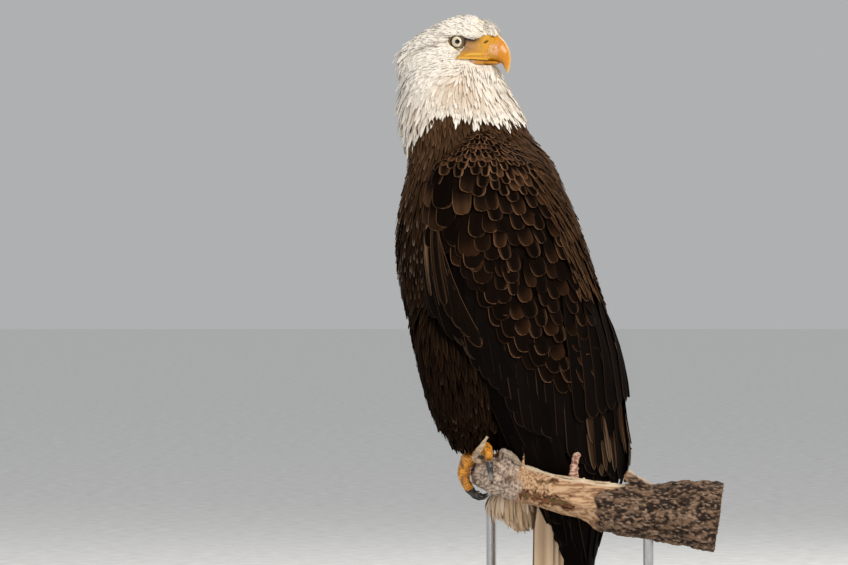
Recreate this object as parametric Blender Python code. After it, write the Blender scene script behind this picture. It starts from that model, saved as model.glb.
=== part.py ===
"""A life-size bald eagle, perched on a cut length of branch that a plain display stand holds up.

Metres, +Z up. The bird's body faces -Y, its left side is +X, and its head is turned back over
the left shoulder. The origin is the middle of the underside of the stand's base.
"""

import math

import bmesh
import bpy
from mathutils import Matrix, Vector

GAP = 0.0003
SHARP_ANGLE = 50
# The side of a cubic block that cuts solids along a plane.
CUTTING_BLOCK = 1.0

# Ovals of the body seen in level slices: height, front (-Y), back (+Y) and half width (X).
TRUNK = [
    (0.318, -0.052, 0.030, 0.026),
    (0.345, -0.098, 0.062, 0.052),
    (0.400, -0.133, 0.092, 0.082),
    (0.460, -0.158, 0.104, 0.097),
    (0.520, -0.172, 0.088, 0.106),
    (0.580, -0.176, 0.069, 0.107),
    (0.640, -0.166, 0.045, 0.099),
    (0.675, -0.159, 0.023, 0.086),
    (0.700, -0.158, -0.004, 0.068),
]
NECK = [
    (0.7003, -0.162, -0.003, 0.070),
    (0.730, -0.1685, -0.0125, 0.066),
    (0.755, -0.1695, -0.0235, 0.060),
    (0.778, -0.166, -0.0345, 0.053),
    (0.793, -0.158, -0.042, 0.0475),
    (0.804, -0.146, -0.058, 0.0435),
    (0.814, -0.132, -0.072, 0.034),
]
NECK_TILT = 0.18
TILT_FADE = 0.06
# How many level slices each of these has, and how many points each slice has.
TRUNK_SLICES, TRUNK_SIDES = 12, 20
NECK_SLICES, NECK_SIDES = 6, 18
HEAD_SLICES = 12
THIGH_SLICES, THIGH_SIDES = 7, 12
UNDERTAIL_SLICES, UNDERTAIL_SIDES = 7, 14
TAIL_SLICES, TAIL_FACETS = 7, 8

# The oval on which the outside of both folded wings lies, in level slices.
WING_OVAL = [
    (0.090, 0.042, 0.076, 0.036),
    (0.147, 0.012, 0.087, 0.055),
    (0.200, -0.006, 0.096, 0.066),
    (0.240, -0.022, 0.120, 0.071),
    (0.280, -0.050, 0.133, 0.076),
    (0.330, -0.100, 0.129, 0.089),
    (0.370, -0.132, 0.128, 0.101),
    (0.410, -0.150, 0.1245, 0.111),
    (0.450, -0.165, 0.115, 0.119),
    (0.500, -0.176, 0.098, 0.125),
    (0.560, -0.179, 0.078, 0.127),
    (0.610, -0.175, 0.059, 0.124),
    (0.660, -0.168, 0.036, 0.113),
    (0.690, -0.158, 0.013, 0.098),
    (0.702, -0.146, -0.004, 0.089),
    (0.709, -0.130, -0.020, 0.080),
]
# Where one wing begins and ends on that oval: height, y of its front edge, distance of its
# back edge from the middle of the back, and thickness.
WING_EDGES = [
    (0.090, 0.0585, 0.010, 0.003),
    (0.147, 0.0480, 0.008, 0.006),
    (0.222, 0.0120, 0.007, 0.010),
    (0.260, -0.008, 0.005, 0.012),
    (0.300, -0.034, 0.004, 0.014),
    (0.340, -0.062, 0.004, 0.018),
    (0.370, -0.085, 0.004, 0.022),
    (0.410, -0.111, 0.006, 0.026),
    (0.450, -0.133, 0.010, 0.028),
    (0.500, -0.1470, 0.018, 0.028),
    (0.560, -0.1490, 0.027, 0.029),
    (0.610, -0.1470, 0.033, 0.029),
    (0.660, -0.139, 0.036, 0.029),
    (0.690, -0.118, 0.040, 0.028),
    (0.702, -0.094, 0.050, 0.020),
    (0.709, -0.075, 0.062, 0.007),
]
# The shares of the way round at which a wing slice has its points, denser at its round edges.
WING_SHARES = (0, 0.02, 0.06, 0.14, 0.28, 0.44, 0.60, 0.76, 0.90, 0.98, 1)
WING_FRONT_ROUND = 0.12
WING_BACK_ROUND = 0.05
WING_SLICES = 16
# The wing is parted where its coverts end and where the primaries leave the secondaries:
# a point (y, z) on each cut and the downward slope of the cut towards +Y, in degrees.
COVERTS_CUT = ((-0.138, 0.585), 47.5)
PRIMARIES_CUT = ((-0.020, 0.318), 20.0)

# One feathered thigh: height, front, back, distance of its middle from x = 0, half width.
THIGH = [
    (0.303, -0.104, -0.054, 0.046, 0.024),
    (0.318, -0.117, -0.044, 0.048, 0.035),
    (0.345, -0.130, -0.032, 0.050, 0.044),
    (0.380, -0.141, -0.024, 0.052, 0.050),
    (0.420, -0.150, -0.022, 0.052, 0.051),
    (0.455, -0.159, -0.034, 0.049, 0.046),
    (0.490, -0.152, -0.066, 0.042, 0.028),
]
# The tail is an arched fan: height, y of its side edges, y of its ridge, half width, thickness.
TAIL = [
    (0.060, 0.021, 0.044, 0.064, 0.004),
    (0.072, 0.019, 0.050, 0.069, 0.006),
    (0.147, 0.0175, 0.056, 0.064, 0.009),
    (0.225, 0.018, 0.056, 0.056, 0.012),
    (0.300, 0.020, 0.054, 0.047, 0.015),
    (0.345, 0.022, 0.048, 0.036, 0.016),
]
TAIL_ROUNDING = 0.016
TAIL_UNDERSIDE_SHARE = 0.985
TAIL_TIP_LENGTH = 0.06
UNDERTAIL = [
    (0.187, -0.024, 0.004, 0.020),
    (0.200, -0.040, 0.006, 0.032),
    (0.220, -0.052, 0.008, 0.041),
    (0.236, -0.059, 0.010, 0.045),
    (0.250, -0.045, 0.011, 0.045),
    (0.268, -0.020, 0.012, 0.044),
    (0.300, -0.018, 0.016, 0.042),
    (0.338, -0.030, 0.020, 0.034),
]
# The head has its own axes: u forward along the bill, v to the bird's right, w up.
HEAD_CENTRE = Vector((0.0, -0.105, 0.815))
HEAD_TURN = math.radians(22)
# u, lowest w, highest w, half width
HEAD = [
    (-0.0695, -0.026, -0.008, 0.010),
    (-0.0640, -0.037, 0.003, 0.022),
    (-0.0500, -0.046, 0.0185, 0.034),
    (-0.0300, -0.051, 0.0305, 0.0410),
    (-0.0080, -0.052, 0.0415, 0.0425),
    (0.0120, -0.048, 0.0478, 0.0405),
    (0.0280, -0.038, 0.0483, 0.0355),
    (0.0420, -0.028, 0.0445, 0.0280),
    (0.0540, -0.022, 0.0395, 0.0200),
    (0.0615, -0.010, 0.0340, 0.0130),
]
HEAD_SIDES = 16
EYE = Vector((0.0233, 0.0275, 0.0123))
EYE_RADIUS = 0.0105
EYE_SEGMENTS, EYE_RINGS = 10, 7

# The upper bill: its ridge point (u, w), its cutting-edge point (u, w) and half width.
BILL_UPPER = [
    ((0.036, 0.0210), (0.012, -0.0085), 0.0215),
    ((0.0454, 0.0228), (0.030, -0.0100), 0.0190),
    ((0.0572, 0.0246), (0.0480, -0.0112), 0.0160),
    ((0.0690, 0.0214), (0.0610, -0.0120), 0.0142),
    ((0.0777, 0.0128), (0.0690, -0.0130), 0.0118),
    ((0.0840, 0.0020), (0.0730, -0.0150), 0.0092),
    ((0.0860, -0.0096), (0.0755, -0.0180), 0.0065),
    ((0.0850, -0.0196), (0.0775, -0.0226), 0.0042),
    ((0.0822, -0.0285), (0.0805, -0.0283), 0.0014),
]
CERE_END = 0.0610
BILL_UPPER_RIDGE, BILL_UPPER_SIDES = 0.45, 14
BILL_LOWER = [
    ((0.022, -0.0104), (0.022, -0.0185), 0.0150),
    ((0.040, -0.0112), (0.040, -0.0194), 0.0128),
    ((0.0573, -0.0122), (0.0565, -0.0188), 0.0105),
    ((0.0655, -0.0128), (0.0650, -0.0174), 0.0078),
    ((0.0700, -0.0140), (0.0698, -0.0156), 0.0030),
]
BILL_LOWER_RIDGE, BILL_LOWER_SIDES = -0.1, 10

# The branch: points of its middle line and its radius there, from the broken end to the cut.
BRANCH = [
    ((-0.098, -0.044, 0.272), 0.0150),
    ((-0.080, -0.049, 0.270), 0.0215),
    ((-0.040, -0.055, 0.268), 0.0222),
    ((0.000, -0.057, 0.268), 0.0220),
    ((0.030, -0.054, 0.268), 0.0228),
    ((0.056, -0.040, 0.266), 0.0258),
    ((0.075, -0.018, 0.259), 0.0250),
    ((0.090, 0.010, 0.250), 0.0237),
    ((0.100, 0.040, 0.242), 0.0240),
    ((0.106, 0.075, 0.2355), 0.0262),
    ((0.109, 0.100, 0.2265), 0.0330),
    ((0.111, 0.155, 0.2200), 0.0350),
    ((0.113, 0.205, 0.2185), 0.0425),
    ((0.114, 0.240, 0.2140), 0.0440),
]
BRANCH_SIDES = 10
BRANCH_STEPS = 24
STUB_SIDES = 7
# Lumps of the bark: size, and how fast it turns along and round the branch.
LUMPS = [(0.030, 2.1, 2.6), (0.025, 0.9, -1.7)]
# Stubs on the branch: root, tip, root radius, tip radius.
STUBS = [
    ((0.118, 0.170, 0.236), (0.126, 0.121, 0.2700), 0.0100, 0.0062),
    ((0.100, 0.052, 0.250), (0.101, 0.058, 0.2960), 0.0062, 0.0030),
    ((0.094, -0.012, 0.262), (0.094, -0.010, 0.2930), 0.0042, 0.0012),
    ((0.082, -0.022, 0.272), (0.070, -0.036, 0.3000), 0.0095, 0.0040),
]

# Feet: the middle of the left foot's pad, and each toe as the way it points.
FOOT_X = 0.040
PAD = Vector((FOOT_X, -0.069, 0.2985))
PAD_RADIUS = 0.0125
ANKLE = Vector((FOOT_X + 0.004, -0.080, 0.332))
TARSUS_RADIUS = 0.0088
GRIP_CENTRE = Vector((0.0, -0.0555, 0.268))
GRIP_RADIUS = 0.0310
# Name, sideways shift at the pad and at the tip, first and last angle round the branch,
# toe radius at its root and tip.
GRIPPING_TOES = [
    ("inner", -0.008, -0.021, 118, 205, 0.0082, 0.0062),
    ("middle", 0.000, -0.001, 122, 222, 0.0086, 0.0062),
    ("hind", -0.006, -0.010, 62, -2, 0.0082, 0.0062),
]
RIGHT_OUTER_TOE = ("outer", 0.007, 0.020, 114, 200, 0.0080, 0.0060)
OUTER_TOE = [
    (0.047, -0.064, 0.3005),
    (0.060, -0.059, 0.3030),
    (0.074, -0.056, 0.2990),
    (0.0835, -0.0545, 0.2880),
]
OUTER_TOE_RADII = (0.0080, 0.0060)
OUTER_CLAW = [
    (0.0852, -0.0540, 0.2835),
    (0.0885, -0.0530, 0.2740),
    (0.0870, -0.0515, 0.2640),
    (0.0825, -0.0505, 0.2555),
]
# The swelling of a toe at its knuckles and between them, from its root to its tip.
TOE_SWELLS = (1.0, 1.12, 0.97, 1.10, 0.97, 0.82)
TOE_SIDES = 8
CLAW_STEPS, CLAW_SIDES = 5, 6
TARSUS_SIDES = 12
CLAW_SWEEP = 46
CLAW_RADIUS = 0.0050
CLAW_BULGE = 0.0042
CLAW_TIP_RADIUS = 0.0008

# The display stand
BASE_SIZE = Vector((0.300, 0.380, 0.020))
BASE_CORNER = 0.045
BASE_EDGE = 0.003
ROD_RADIUS = 0.0065
ROD_SINK = 0.012
RODS = [
    ("stand_rod_front", (-0.078, -0.0495), 0.2600),
    ("stand_rod_back", (0.110, 0.150), 0.2030),
]
ROD_SIDES = 16

COLOURS = {
    "white_plumage": ((0.86, 0.82, 0.74), 0.75, 0.0),
    "cream_plumage": ((0.80, 0.70, 0.52), 0.75, 0.0),
    "brown_plumage": ((0.060, 0.034, 0.020), 0.70, 0.0),
    "dark_flight_feathers": ((0.028, 0.018, 0.013), 0.60, 0.0),
    "bill_yellow": ((0.86, 0.48, 0.05), 0.35, 0.0),
    "foot_yellow": ((0.84, 0.44, 0.05), 0.50, 0.0),
    "claw_black": ((0.02, 0.02, 0.02), 0.30, 0.0),
    "eye": ((0.80, 0.72, 0.45), 0.08, 0.0),
    "branch_wood": ((0.42, 0.30, 0.22), 0.85, 0.0),
    "stand_base": ((0.05, 0.045, 0.04), 0.40, 0.0),
    "stand_rod": ((0.55, 0.55, 0.56), 0.30, 1.0),
}


def clear_scene():
    for obj in list(bpy.data.objects):
        bpy.data.objects.remove(obj, do_unlink=True)


def material(name):
    found = bpy.data.materials.get(name)
    if found:
        return found
    colour, roughness, metallic = COLOURS[name]
    made = bpy.data.materials.new(name)
    made.use_nodes = True
    shader = made.node_tree.nodes["Principled BSDF"]
    shader.inputs["Base Color"].default_value = (*colour, 1.0)
    shader.inputs["Roughness"].default_value = roughness
    shader.inputs["Metallic"].default_value = metallic
    made.diffuse_color = (*colour, 1.0)
    return made


def add_object(name, mesh, finish):
    obj = bpy.data.objects.new(name, mesh)
    bpy.context.scene.collection.objects.link(obj)
    mesh.materials.clear()
    mesh.materials.append(material(finish))
    mesh.shade_smooth()
    mesh.set_sharp_from_angle(angle=math.radians(SHARP_ANGLE))
    return obj


def at(stations, key):
    """The values of a table of stations at key, on a smooth curve through them."""
    keys = [row[0] for row in stations]
    last = len(keys) - 1
    key = min(max(key, keys[0]), keys[last])
    i = max(j for j in range(last) if keys[j] <= key)
    width = keys[i + 1] - keys[i]
    t = (key - keys[i]) / width

    def slope(j, column):
        low, high = max(j - 1, 0), min(j + 1, last)
        rise = stations[high][column] - stations[low][column]
        return rise / (keys[high] - keys[low])

    values = []
    for column in range(1, len(stations[0])):
        start, end = stations[i][column], stations[i + 1][column]
        a, b = slope(i, column) * width, slope(i + 1, column) * width
        values.append(
            (2 * t**3 - 3 * t**2 + 1) * start
            + (t**3 - 2 * t**2 + t) * a
            + (3 * t**2 - 2 * t**3) * end
            + (t**3 - t**2) * b
        )
    return values


def levels(stations, count):
    low, high = stations[0][0], stations[-1][0]
    return [low + (high - low) * i / (count - 1) for i in range(count)]


def oval(z, front, back, half_width, count, middle=0.0):
    """A level oval, from its front point round by the left side."""
    centre, depth = (front + back) / 2, (back - front) / 2
    ring = []
    for i in range(count):
        angle = 2 * math.pi * i / count
        x = middle + half_width * math.sin(angle)
        ring.append(Vector((x, centre - depth * math.cos(angle), z)))
    return ring


def loft(rings):
    """A closed mesh through rings of equal length, with a fan at each end."""
    mesh = bmesh.new()
    rows = [[mesh.verts.new(point) for point in ring] for ring in rings]
    count = len(rings[0])
    for low, high in zip(rows, rows[1:]):
        for i in range(count):
            j = (i + 1) % count
            mesh.faces.new((low[i], low[j], high[j], high[i]))
    mesh.faces.new(rows[0])
    mesh.faces.new(rows[-1])
    bmesh.ops.recalc_face_normals(mesh, faces=mesh.faces)
    bmesh.ops.triangulate(mesh, faces=mesh.faces)
    if mesh.calc_volume(signed=True) < 0:
        bmesh.ops.reverse_faces(mesh, faces=mesh.faces)
    made = bpy.data.meshes.new("loft")
    mesh.to_mesh(made)
    mesh.free()
    return made


def sweep(points, radii, sides, flatten=1.0):
    """Rings round a line of points. flatten squeezes them along the first ring's up."""
    rings = []
    along = (points[1] - points[0]).normalized()
    up = Vector((0, 0, 1)) if abs(along.z) < 0.9 else Vector((0, 1, 0))
    for i, (point, radius) in enumerate(zip(points, radii)):
        before, after = points[max(i - 1, 0)], points[min(i + 1, len(points) - 1)]
        along = (after - before).normalized()
        up = (up - up.project(along)).normalized()
        side = along.cross(up)
        ring = []
        for j in range(sides):
            angle = 2 * math.pi * j / sides
            out = side * math.cos(angle) + up * (math.sin(angle) * flatten)
            ring.append(point + out * radius)
        rings.append(ring)
    return rings


def inflated(obj, distance):
    """A cutter of obj's shape, larger by distance all round."""
    mesh = bmesh.new()
    mesh.from_mesh(obj.data)
    mesh.normal_update()
    moves = [vert.normal * (distance * vert.calc_shell_factor()) for vert in mesh.verts]
    for vert, move in zip(mesh.verts, moves):
        vert.co += move
    made = bpy.data.meshes.new("cutter")
    mesh.to_mesh(made)
    mesh.free()
    return made


def largest_body(mesh):
    """Keeps the largest connected piece of a mesh and drops crumbs of a cut."""
    work = bmesh.new()
    work.from_mesh(mesh)
    bmesh.ops.triangulate(work, faces=work.faces)
    unseen = set(work.verts)
    bodies = []
    while unseen:
        front = [unseen.pop()]
        body = set(front)
        while front:
            vert = front.pop()
            for edge in vert.link_edges:
                other = edge.other_vert(vert)
                if other in unseen:
                    unseen.discard(other)
                    body.add(other)
                    front.append(other)
        bodies.append(body)
    bodies.sort(key=lambda body: sum(face.calc_area() for vert in body for face in vert.link_faces))
    crumbs = [vert for body in bodies[:-1] for vert in body]
    bmesh.ops.delete(work, geom=crumbs, context="VERTS")
    work.to_mesh(mesh)
    work.free()


def boolean(obj, cutter_mesh, operation):
    """Applies one exact Boolean to obj."""
    cutter = bpy.data.objects.new("cutter", cutter_mesh)
    bpy.context.scene.collection.objects.link(cutter)
    modifier = obj.modifiers.new("cut", "BOOLEAN")
    modifier.object = cutter
    modifier.operation = operation
    modifier.solver = "EXACT"
    bpy.context.view_layer.update()
    graph = bpy.context.evaluated_depsgraph_get()
    result = bpy.data.meshes.new_from_object(obj.evaluated_get(graph))
    obj.modifiers.remove(modifier)
    bpy.data.objects.remove(cutter, do_unlink=True)
    finish = obj.data.materials[0]
    obj.data = result
    largest_body(result)
    result.materials.clear()
    result.materials.append(finish)
    for polygon in result.polygons:
        polygon.material_index = 0
    return obj


def cut_by(obj, *others, gap=GAP):
    """Takes the space of other objects, with a thin gap, from obj."""
    for other in others:
        boolean(obj, inflated(other, gap), "DIFFERENCE")
    return obj


def half_space(point, slope, above, gap=GAP):
    """A large block above or below a plane that holds the X axis and slopes down to +Y."""
    size = CUTTING_BLOCK
    angle = -math.radians(slope)
    up = Vector((0, -math.sin(angle), math.cos(angle)))
    shift = (size - gap) / 2 * (1 if above else -1)
    mesh = bmesh.new()
    bmesh.ops.create_cube(mesh, size=size)
    centre = Vector((0, *point)) + up * shift
    place = Matrix.Translation(centre) @ Matrix.Rotation(angle, 4, "X")
    bmesh.ops.transform(mesh, matrix=place, verts=mesh.verts)
    made = bpy.data.meshes.new("half_space")
    mesh.to_mesh(made)
    mesh.free()
    return made


def flip(obj):
    """Moves obj, made for the bird's left side, to its right side."""
    obj.data.transform(Matrix.Scale(-1, 4, (1, 0, 0)))
    obj.data.flip_normals()
    return obj


def twin_of(obj, name):
    twin = obj.copy()
    twin.data = obj.data.copy()
    twin.name = name
    bpy.context.scene.collection.objects.link(twin)
    return twin


def pair(obj):
    """obj, made for the bird's left side, and its mirror image for the right."""
    return [obj, flip(twin_of(obj, obj.name.replace("_left", "_right")))]


def tilted(ring, strength):
    """The border of white and brown plumage is lower on the breast than on the back."""
    middle = sum((point.y for point in ring), 0.0) / len(ring)
    for point in ring:
        point.z += NECK_TILT * strength * (point.y - middle)
    return ring


def make_trunk():
    border = TRUNK[-1][0]
    rings = []
    for z in levels(TRUNK, TRUNK_SLICES):
        strength = max(0.0, 1 - (border - z) / TILT_FADE)
        rings.append(tilted(oval(z, *at(TRUNK, z), TRUNK_SIDES), strength))
    return add_object("trunk", loft(rings), "brown_plumage")


def make_neck():
    border = NECK[0][0]
    rings = []
    for z in levels(NECK, NECK_SLICES):
        strength = max(0.0, 1 - (z - border) / TILT_FADE)
        rings.append(tilted(oval(z, *at(NECK, z), NECK_SIDES), strength))
    return add_object("neck", loft(rings), "white_plumage")


def head_point(u, v, w):
    forward = Vector((math.sin(HEAD_TURN), math.cos(HEAD_TURN), 0))
    right = Vector((math.cos(HEAD_TURN), -math.sin(HEAD_TURN), 0))
    return HEAD_CENTRE + forward * u + right * v + Vector((0, 0, w))


def make_head():
    rings = []
    for u in levels(HEAD, HEAD_SLICES):
        low, high, half_width = at(HEAD, u)
        middle, height = (low + high) / 2, (high - low) / 2
        ring = []
        for i in range(HEAD_SIDES):
            angle = 2 * math.pi * i / HEAD_SIDES
            v = half_width * math.cos(angle)
            ring.append(head_point(u, v, middle + height * math.sin(angle)))
        rings.append(ring)
    return add_object("head", loft(rings), "white_plumage")


def make_bill(name, stations, ridge, sides):
    """A bill half: ovals between its upper and lower line, narrower at the ridge."""
    rings = []
    for (top_u, top_w), (low_u, low_w), half_width in stations:
        ring = []
        for i in range(sides):
            angle = 2 * math.pi * i / sides
            share = (1 + math.sin(angle)) / 2
            narrow = 1 - ridge * share**2
            u = low_u + (top_u - low_u) * share
            w = low_w + (top_w - low_w) * share
            ring.append(head_point(u, half_width * math.cos(angle) * narrow, w))
        rings.append(ring)
    return add_object(name, loft(rings), "bill_yellow")


def part_cere(bill):
    """Parts the soft cere from the horny hook of the upper bill with one thin cut."""
    size = CUTTING_BLOCK
    cere = twin_of(bill, "cere")
    for obj, side in ((bill, -1), (cere, 1)):
        mesh = bmesh.new()
        bmesh.ops.create_cube(mesh, size=size)
        place = Matrix.Translation(head_point(CERE_END + side * (size - GAP) / 2, 0, 0))
        place = place @ Matrix.Rotation(-HEAD_TURN, 4, "Z")
        bmesh.ops.transform(mesh, matrix=place, verts=mesh.verts)
        block = bpy.data.meshes.new("block")
        mesh.to_mesh(block)
        mesh.free()
        boolean(obj, block, "DIFFERENCE")
    return cere


def make_eye(name, side):
    mesh = bmesh.new()
    bmesh.ops.create_uvsphere(
        mesh, u_segments=EYE_SEGMENTS, v_segments=EYE_RINGS, radius=EYE_RADIUS
    )
    turn = Matrix.Rotation(math.radians(90), 4, "Y")
    turn = Matrix.Rotation(-HEAD_TURN, 4, "Z") @ turn
    place = Matrix.Translation(head_point(EYE.x, EYE.y * side, EYE.z)) @ turn
    bmesh.ops.transform(mesh, matrix=place, verts=mesh.verts)
    made = bpy.data.meshes.new(name)
    mesh.to_mesh(made)
    mesh.free()
    return add_object(name, made, "eye")


def edge_rounding(share):
    """How far, from 0 to 1, a wing's outside has turned in towards the body at its edges."""
    front = max(0.0, 1 - share / WING_FRONT_ROUND)
    back = max(0.0, 1 - (1 - share) / WING_BACK_ROUND)
    return 1 - math.sqrt(1 - max(front, back) ** 2)


def wing_ring(z):
    """One level slice of the left wing: a crescent on the wing oval."""
    front, back, half_width = at(WING_OVAL, z)
    edge_y, back_x, thickness = at(WING_EDGES, z)
    centre, depth = (front + back) / 2, (back - front) / 2
    start = math.acos(min(max((centre - edge_y) / depth, -0.98), 0.98))
    end = math.pi - math.asin(min(back_x / half_width, 0.98))
    outer, inner = [], []
    for share in WING_SHARES:
        angle = start + (end - start) * share
        point = Vector((half_width * math.sin(angle), centre - depth * math.cos(angle), z))
        inward = Vector((-math.sin(angle) / half_width, math.cos(angle) / depth, 0)).normalized()
        outer.append(point + inward * (thickness * edge_rounding(share)))
        if 0 < share < 1:
            deep = point + inward * thickness
            deep.x = max(deep.x, 0.001)
            inner.append(deep)
    return outer + inner[::-1]


def make_left_wing():
    """The whole folded left wing, before it is parted."""
    rings = [wing_ring(z) for z in levels(WING_EDGES, WING_SLICES)]
    return add_object("wing_left_coverts", loft(rings), "brown_plumage")


def part_wing(coverts):
    secondaries = twin_of(coverts, coverts.name.replace("coverts", "secondaries"))
    primaries = twin_of(coverts, coverts.name.replace("coverts", "primaries"))
    for obj in (secondaries, primaries):
        obj.data.materials[0] = material("dark_flight_feathers")
    boolean(coverts, half_space(*COVERTS_CUT, above=False), "DIFFERENCE")
    boolean(secondaries, half_space(*COVERTS_CUT, above=True), "DIFFERENCE")
    boolean(secondaries, half_space(*PRIMARIES_CUT, above=False), "DIFFERENCE")
    boolean(primaries, half_space(*PRIMARIES_CUT, above=True), "DIFFERENCE")
    return [coverts, secondaries, primaries]


def make_thigh():
    rings = []
    for z in levels(THIGH, THIGH_SLICES):
        front, back, middle, half_width = at(THIGH, z)
        rings.append(oval(z, front, back, half_width, THIGH_SIDES, middle))
    return add_object("thigh_left", loft(rings), "brown_plumage")


def tail_ring(z, count):
    """One level slice of the arched tail."""
    edge, ridge, half_width, thickness = at(TAIL, z)
    upper, lower = [], []
    for i in range(count + 1):
        across = 2 * i / count - 1
        x = half_width * across
        y = edge + (ridge - edge) * (1 - across**2)
        lift = TAIL_ROUNDING * across**2 * max(0.0, 1 - (z - TAIL[0][0]) / TAIL_TIP_LENGTH)
        upper.append(Vector((x, y, z + lift)))
        lower.append(Vector((x * TAIL_UNDERSIDE_SHARE, y - thickness, z + lift)))
    return upper + lower[::-1]


def make_tail():
    rings = [tail_ring(z, TAIL_FACETS) for z in levels(TAIL, TAIL_SLICES)]
    return add_object("tail", loft(rings), "cream_plumage")


def make_undertail():
    rings = [oval(z, *at(UNDERTAIL, z), UNDERTAIL_SIDES) for z in levels(UNDERTAIL, UNDERTAIL_SLICES)]
    return add_object("undertail_coverts", loft(rings), "cream_plumage")


def smooth_line(points, count):
    """count points on a smooth curve through the given ones."""
    rows = [(i, *point) for i, point in enumerate(points)]
    last = len(points) - 1
    return [Vector(at(rows, last * i / (count - 1))) for i in range(count)]


def make_branch():
    """The branch, lumpy and with its stubs, broken at one end and sawn at the other."""
    rows = [(*point, radius) for point, radius in BRANCH]
    line = [(i, *row) for i, row in enumerate(rows)]
    last = len(rows) - 1
    points, radii = [], []
    for i in range(BRANCH_STEPS + 1):
        x, y, z, radius = at(line, last * i / BRANCH_STEPS)
        points.append(Vector((x, y, z)))
        radii.append(radius)
    rings = sweep(points, radii, BRANCH_SIDES)
    for i, ring in enumerate(rings):
        for j, point in enumerate(ring):
            lump = sum(size * math.sin(a * i + b * j) for size, a, b in LUMPS)
            ring[j] = points[i] + (point - points[i]) * (1 + lump)
    branch = add_object("perch_branch", loft(rings), "branch_wood")
    for root, tip, root_radius, tip_radius in STUBS:
        line = [Vector(root).lerp(Vector(tip), t) for t in (0, 0.5, 1)]
        radii = [root_radius, (root_radius + tip_radius) / 2, tip_radius]
        boolean(branch, loft(sweep(line, radii, STUB_SIDES)), "UNION")
    return branch


def make_tarsus():
    """The left leg below the thigh, with the pad of the foot."""
    line = [ANKLE, ANKLE.lerp(PAD, 0.5), PAD + Vector((0, 0, 0.006)), PAD - Vector((0, 0, 0.005))]
    radii = [TARSUS_RADIUS, TARSUS_RADIUS * 0.95, PAD_RADIUS, PAD_RADIUS * 0.8]
    return add_object("tarsus_left", loft(sweep(line, radii, TARSUS_SIDES)), "foot_yellow")


def grip_point(angle, x, radius):
    """A point at an angle round the branch, 0 towards +Y and 90 straight up."""
    turn = math.radians(angle)
    return Vector((x, GRIP_CENTRE.y + radius * math.cos(turn), GRIP_CENTRE.z + radius * math.sin(turn)))


def toe_and_claw(name, line, radii, claw_line):
    """One toe with a knuckle bulge at each joint, and its claw. name says side and toe."""
    count = len(TOE_SWELLS)
    points = smooth_line(line, count)
    sizes = []
    for i, swell in enumerate(TOE_SWELLS):
        share = i / (count - 1)
        sizes.append((radii[0] + (radii[1] - radii[0]) * share) * swell)
    toe = add_object("toe_" + name, loft(sweep(points, sizes, TOE_SIDES)), "foot_yellow")
    claw_points = smooth_line(claw_line, CLAW_STEPS)
    claw_sizes = []
    for i in range(CLAW_STEPS):
        share = i / (CLAW_STEPS - 1)
        claw_sizes.append(CLAW_RADIUS * (1 - share) ** 0.7 + CLAW_TIP_RADIUS)
    claw_mesh = loft(sweep(claw_points, claw_sizes, CLAW_SIDES))
    claw = add_object("claw_" + name, claw_mesh, "claw_black")
    return toe, claw


def make_gripping_toe(side, name, root_shift, tip_shift, first, last, root_radius, tip_radius):
    """A toe that follows the round of the branch and its claw, which curls on past it."""
    line = []
    for i in range(5):
        share = i / 4
        x = FOOT_X + root_shift + (tip_shift - root_shift) * share
        line.append(grip_point(first + (last - first) * share, x, GRIP_RADIUS))
    way = 1 if last > first else -1
    start = last + way * 5
    claw = []
    for i in range(4):
        share = i / 3
        bulge = CLAW_BULGE * math.sin(math.pi * share) - 0.003 * share
        x = FOOT_X + tip_shift * (1 + 0.15 * share)
        claw.append(grip_point(start + way * CLAW_SWEEP * share, x, GRIP_RADIUS + bulge))
    return toe_and_claw(side + "_" + name, line, (root_radius, tip_radius), claw)


def make_left_toes():
    toes = [make_gripping_toe("left", *toe) for toe in GRIPPING_TOES]
    outer_line = [Vector(point) for point in OUTER_TOE]
    claw_line = [Vector(point) for point in OUTER_CLAW]
    toes.append(toe_and_claw("left_outer", outer_line, OUTER_TOE_RADII, claw_line))
    return toes


def make_right_toes():
    toes = [make_gripping_toe("right", *toe) for toe in GRIPPING_TOES + [RIGHT_OUTER_TOE]]
    for pieces in toes:
        for piece in pieces:
            flip(piece)
    return toes


def make_base():
    """A flat plate with round corners and softened edges."""
    half_x, half_y, height = BASE_SIZE.x / 2, BASE_SIZE.y / 2, BASE_SIZE.z
    outline = []
    for corner in range(4):
        sign_x = (1, -1, -1, 1)[corner]
        sign_y = (1, 1, -1, -1)[corner]
        for step in range(6):
            angle = math.radians(90 * corner + 18 * step)
            x = sign_x * (half_x - BASE_CORNER) + BASE_CORNER * math.cos(angle)
            y = sign_y * (half_y - BASE_CORNER) + BASE_CORNER * math.sin(angle)
            outline.append((x, y))
    rings = []
    for z, inset in ((0, 0), (height - BASE_EDGE, 0), (height, BASE_EDGE)):
        shrink_x, shrink_y = 1 - inset / half_x, 1 - inset / half_y
        rings.append([Vector((x * shrink_x, y * shrink_y, z)) for x, y in outline])
    return add_object("stand_base", loft(rings), "stand_base")


def rod_mesh(place, bottom, top, radius):
    points = [Vector((*place, bottom)), Vector((*place, top))]
    return loft(sweep(points, [radius, radius], ROD_SIDES))


def make_stand(branch):
    """The base and two rods, each sunk in a hole of the base and of the branch."""
    base = make_base()
    floor = BASE_SIZE.z - ROD_SINK
    parts = [base]
    for name, place, top in RODS:
        hole = rod_mesh(place, floor - GAP, top + GAP, ROD_RADIUS + GAP)
        boolean(base, hole.copy(), "DIFFERENCE")
        boolean(branch, hole, "DIFFERENCE")
        parts.append(add_object(name, rod_mesh(place, floor, top, ROD_RADIUS), "stand_rod"))
    return parts


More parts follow.
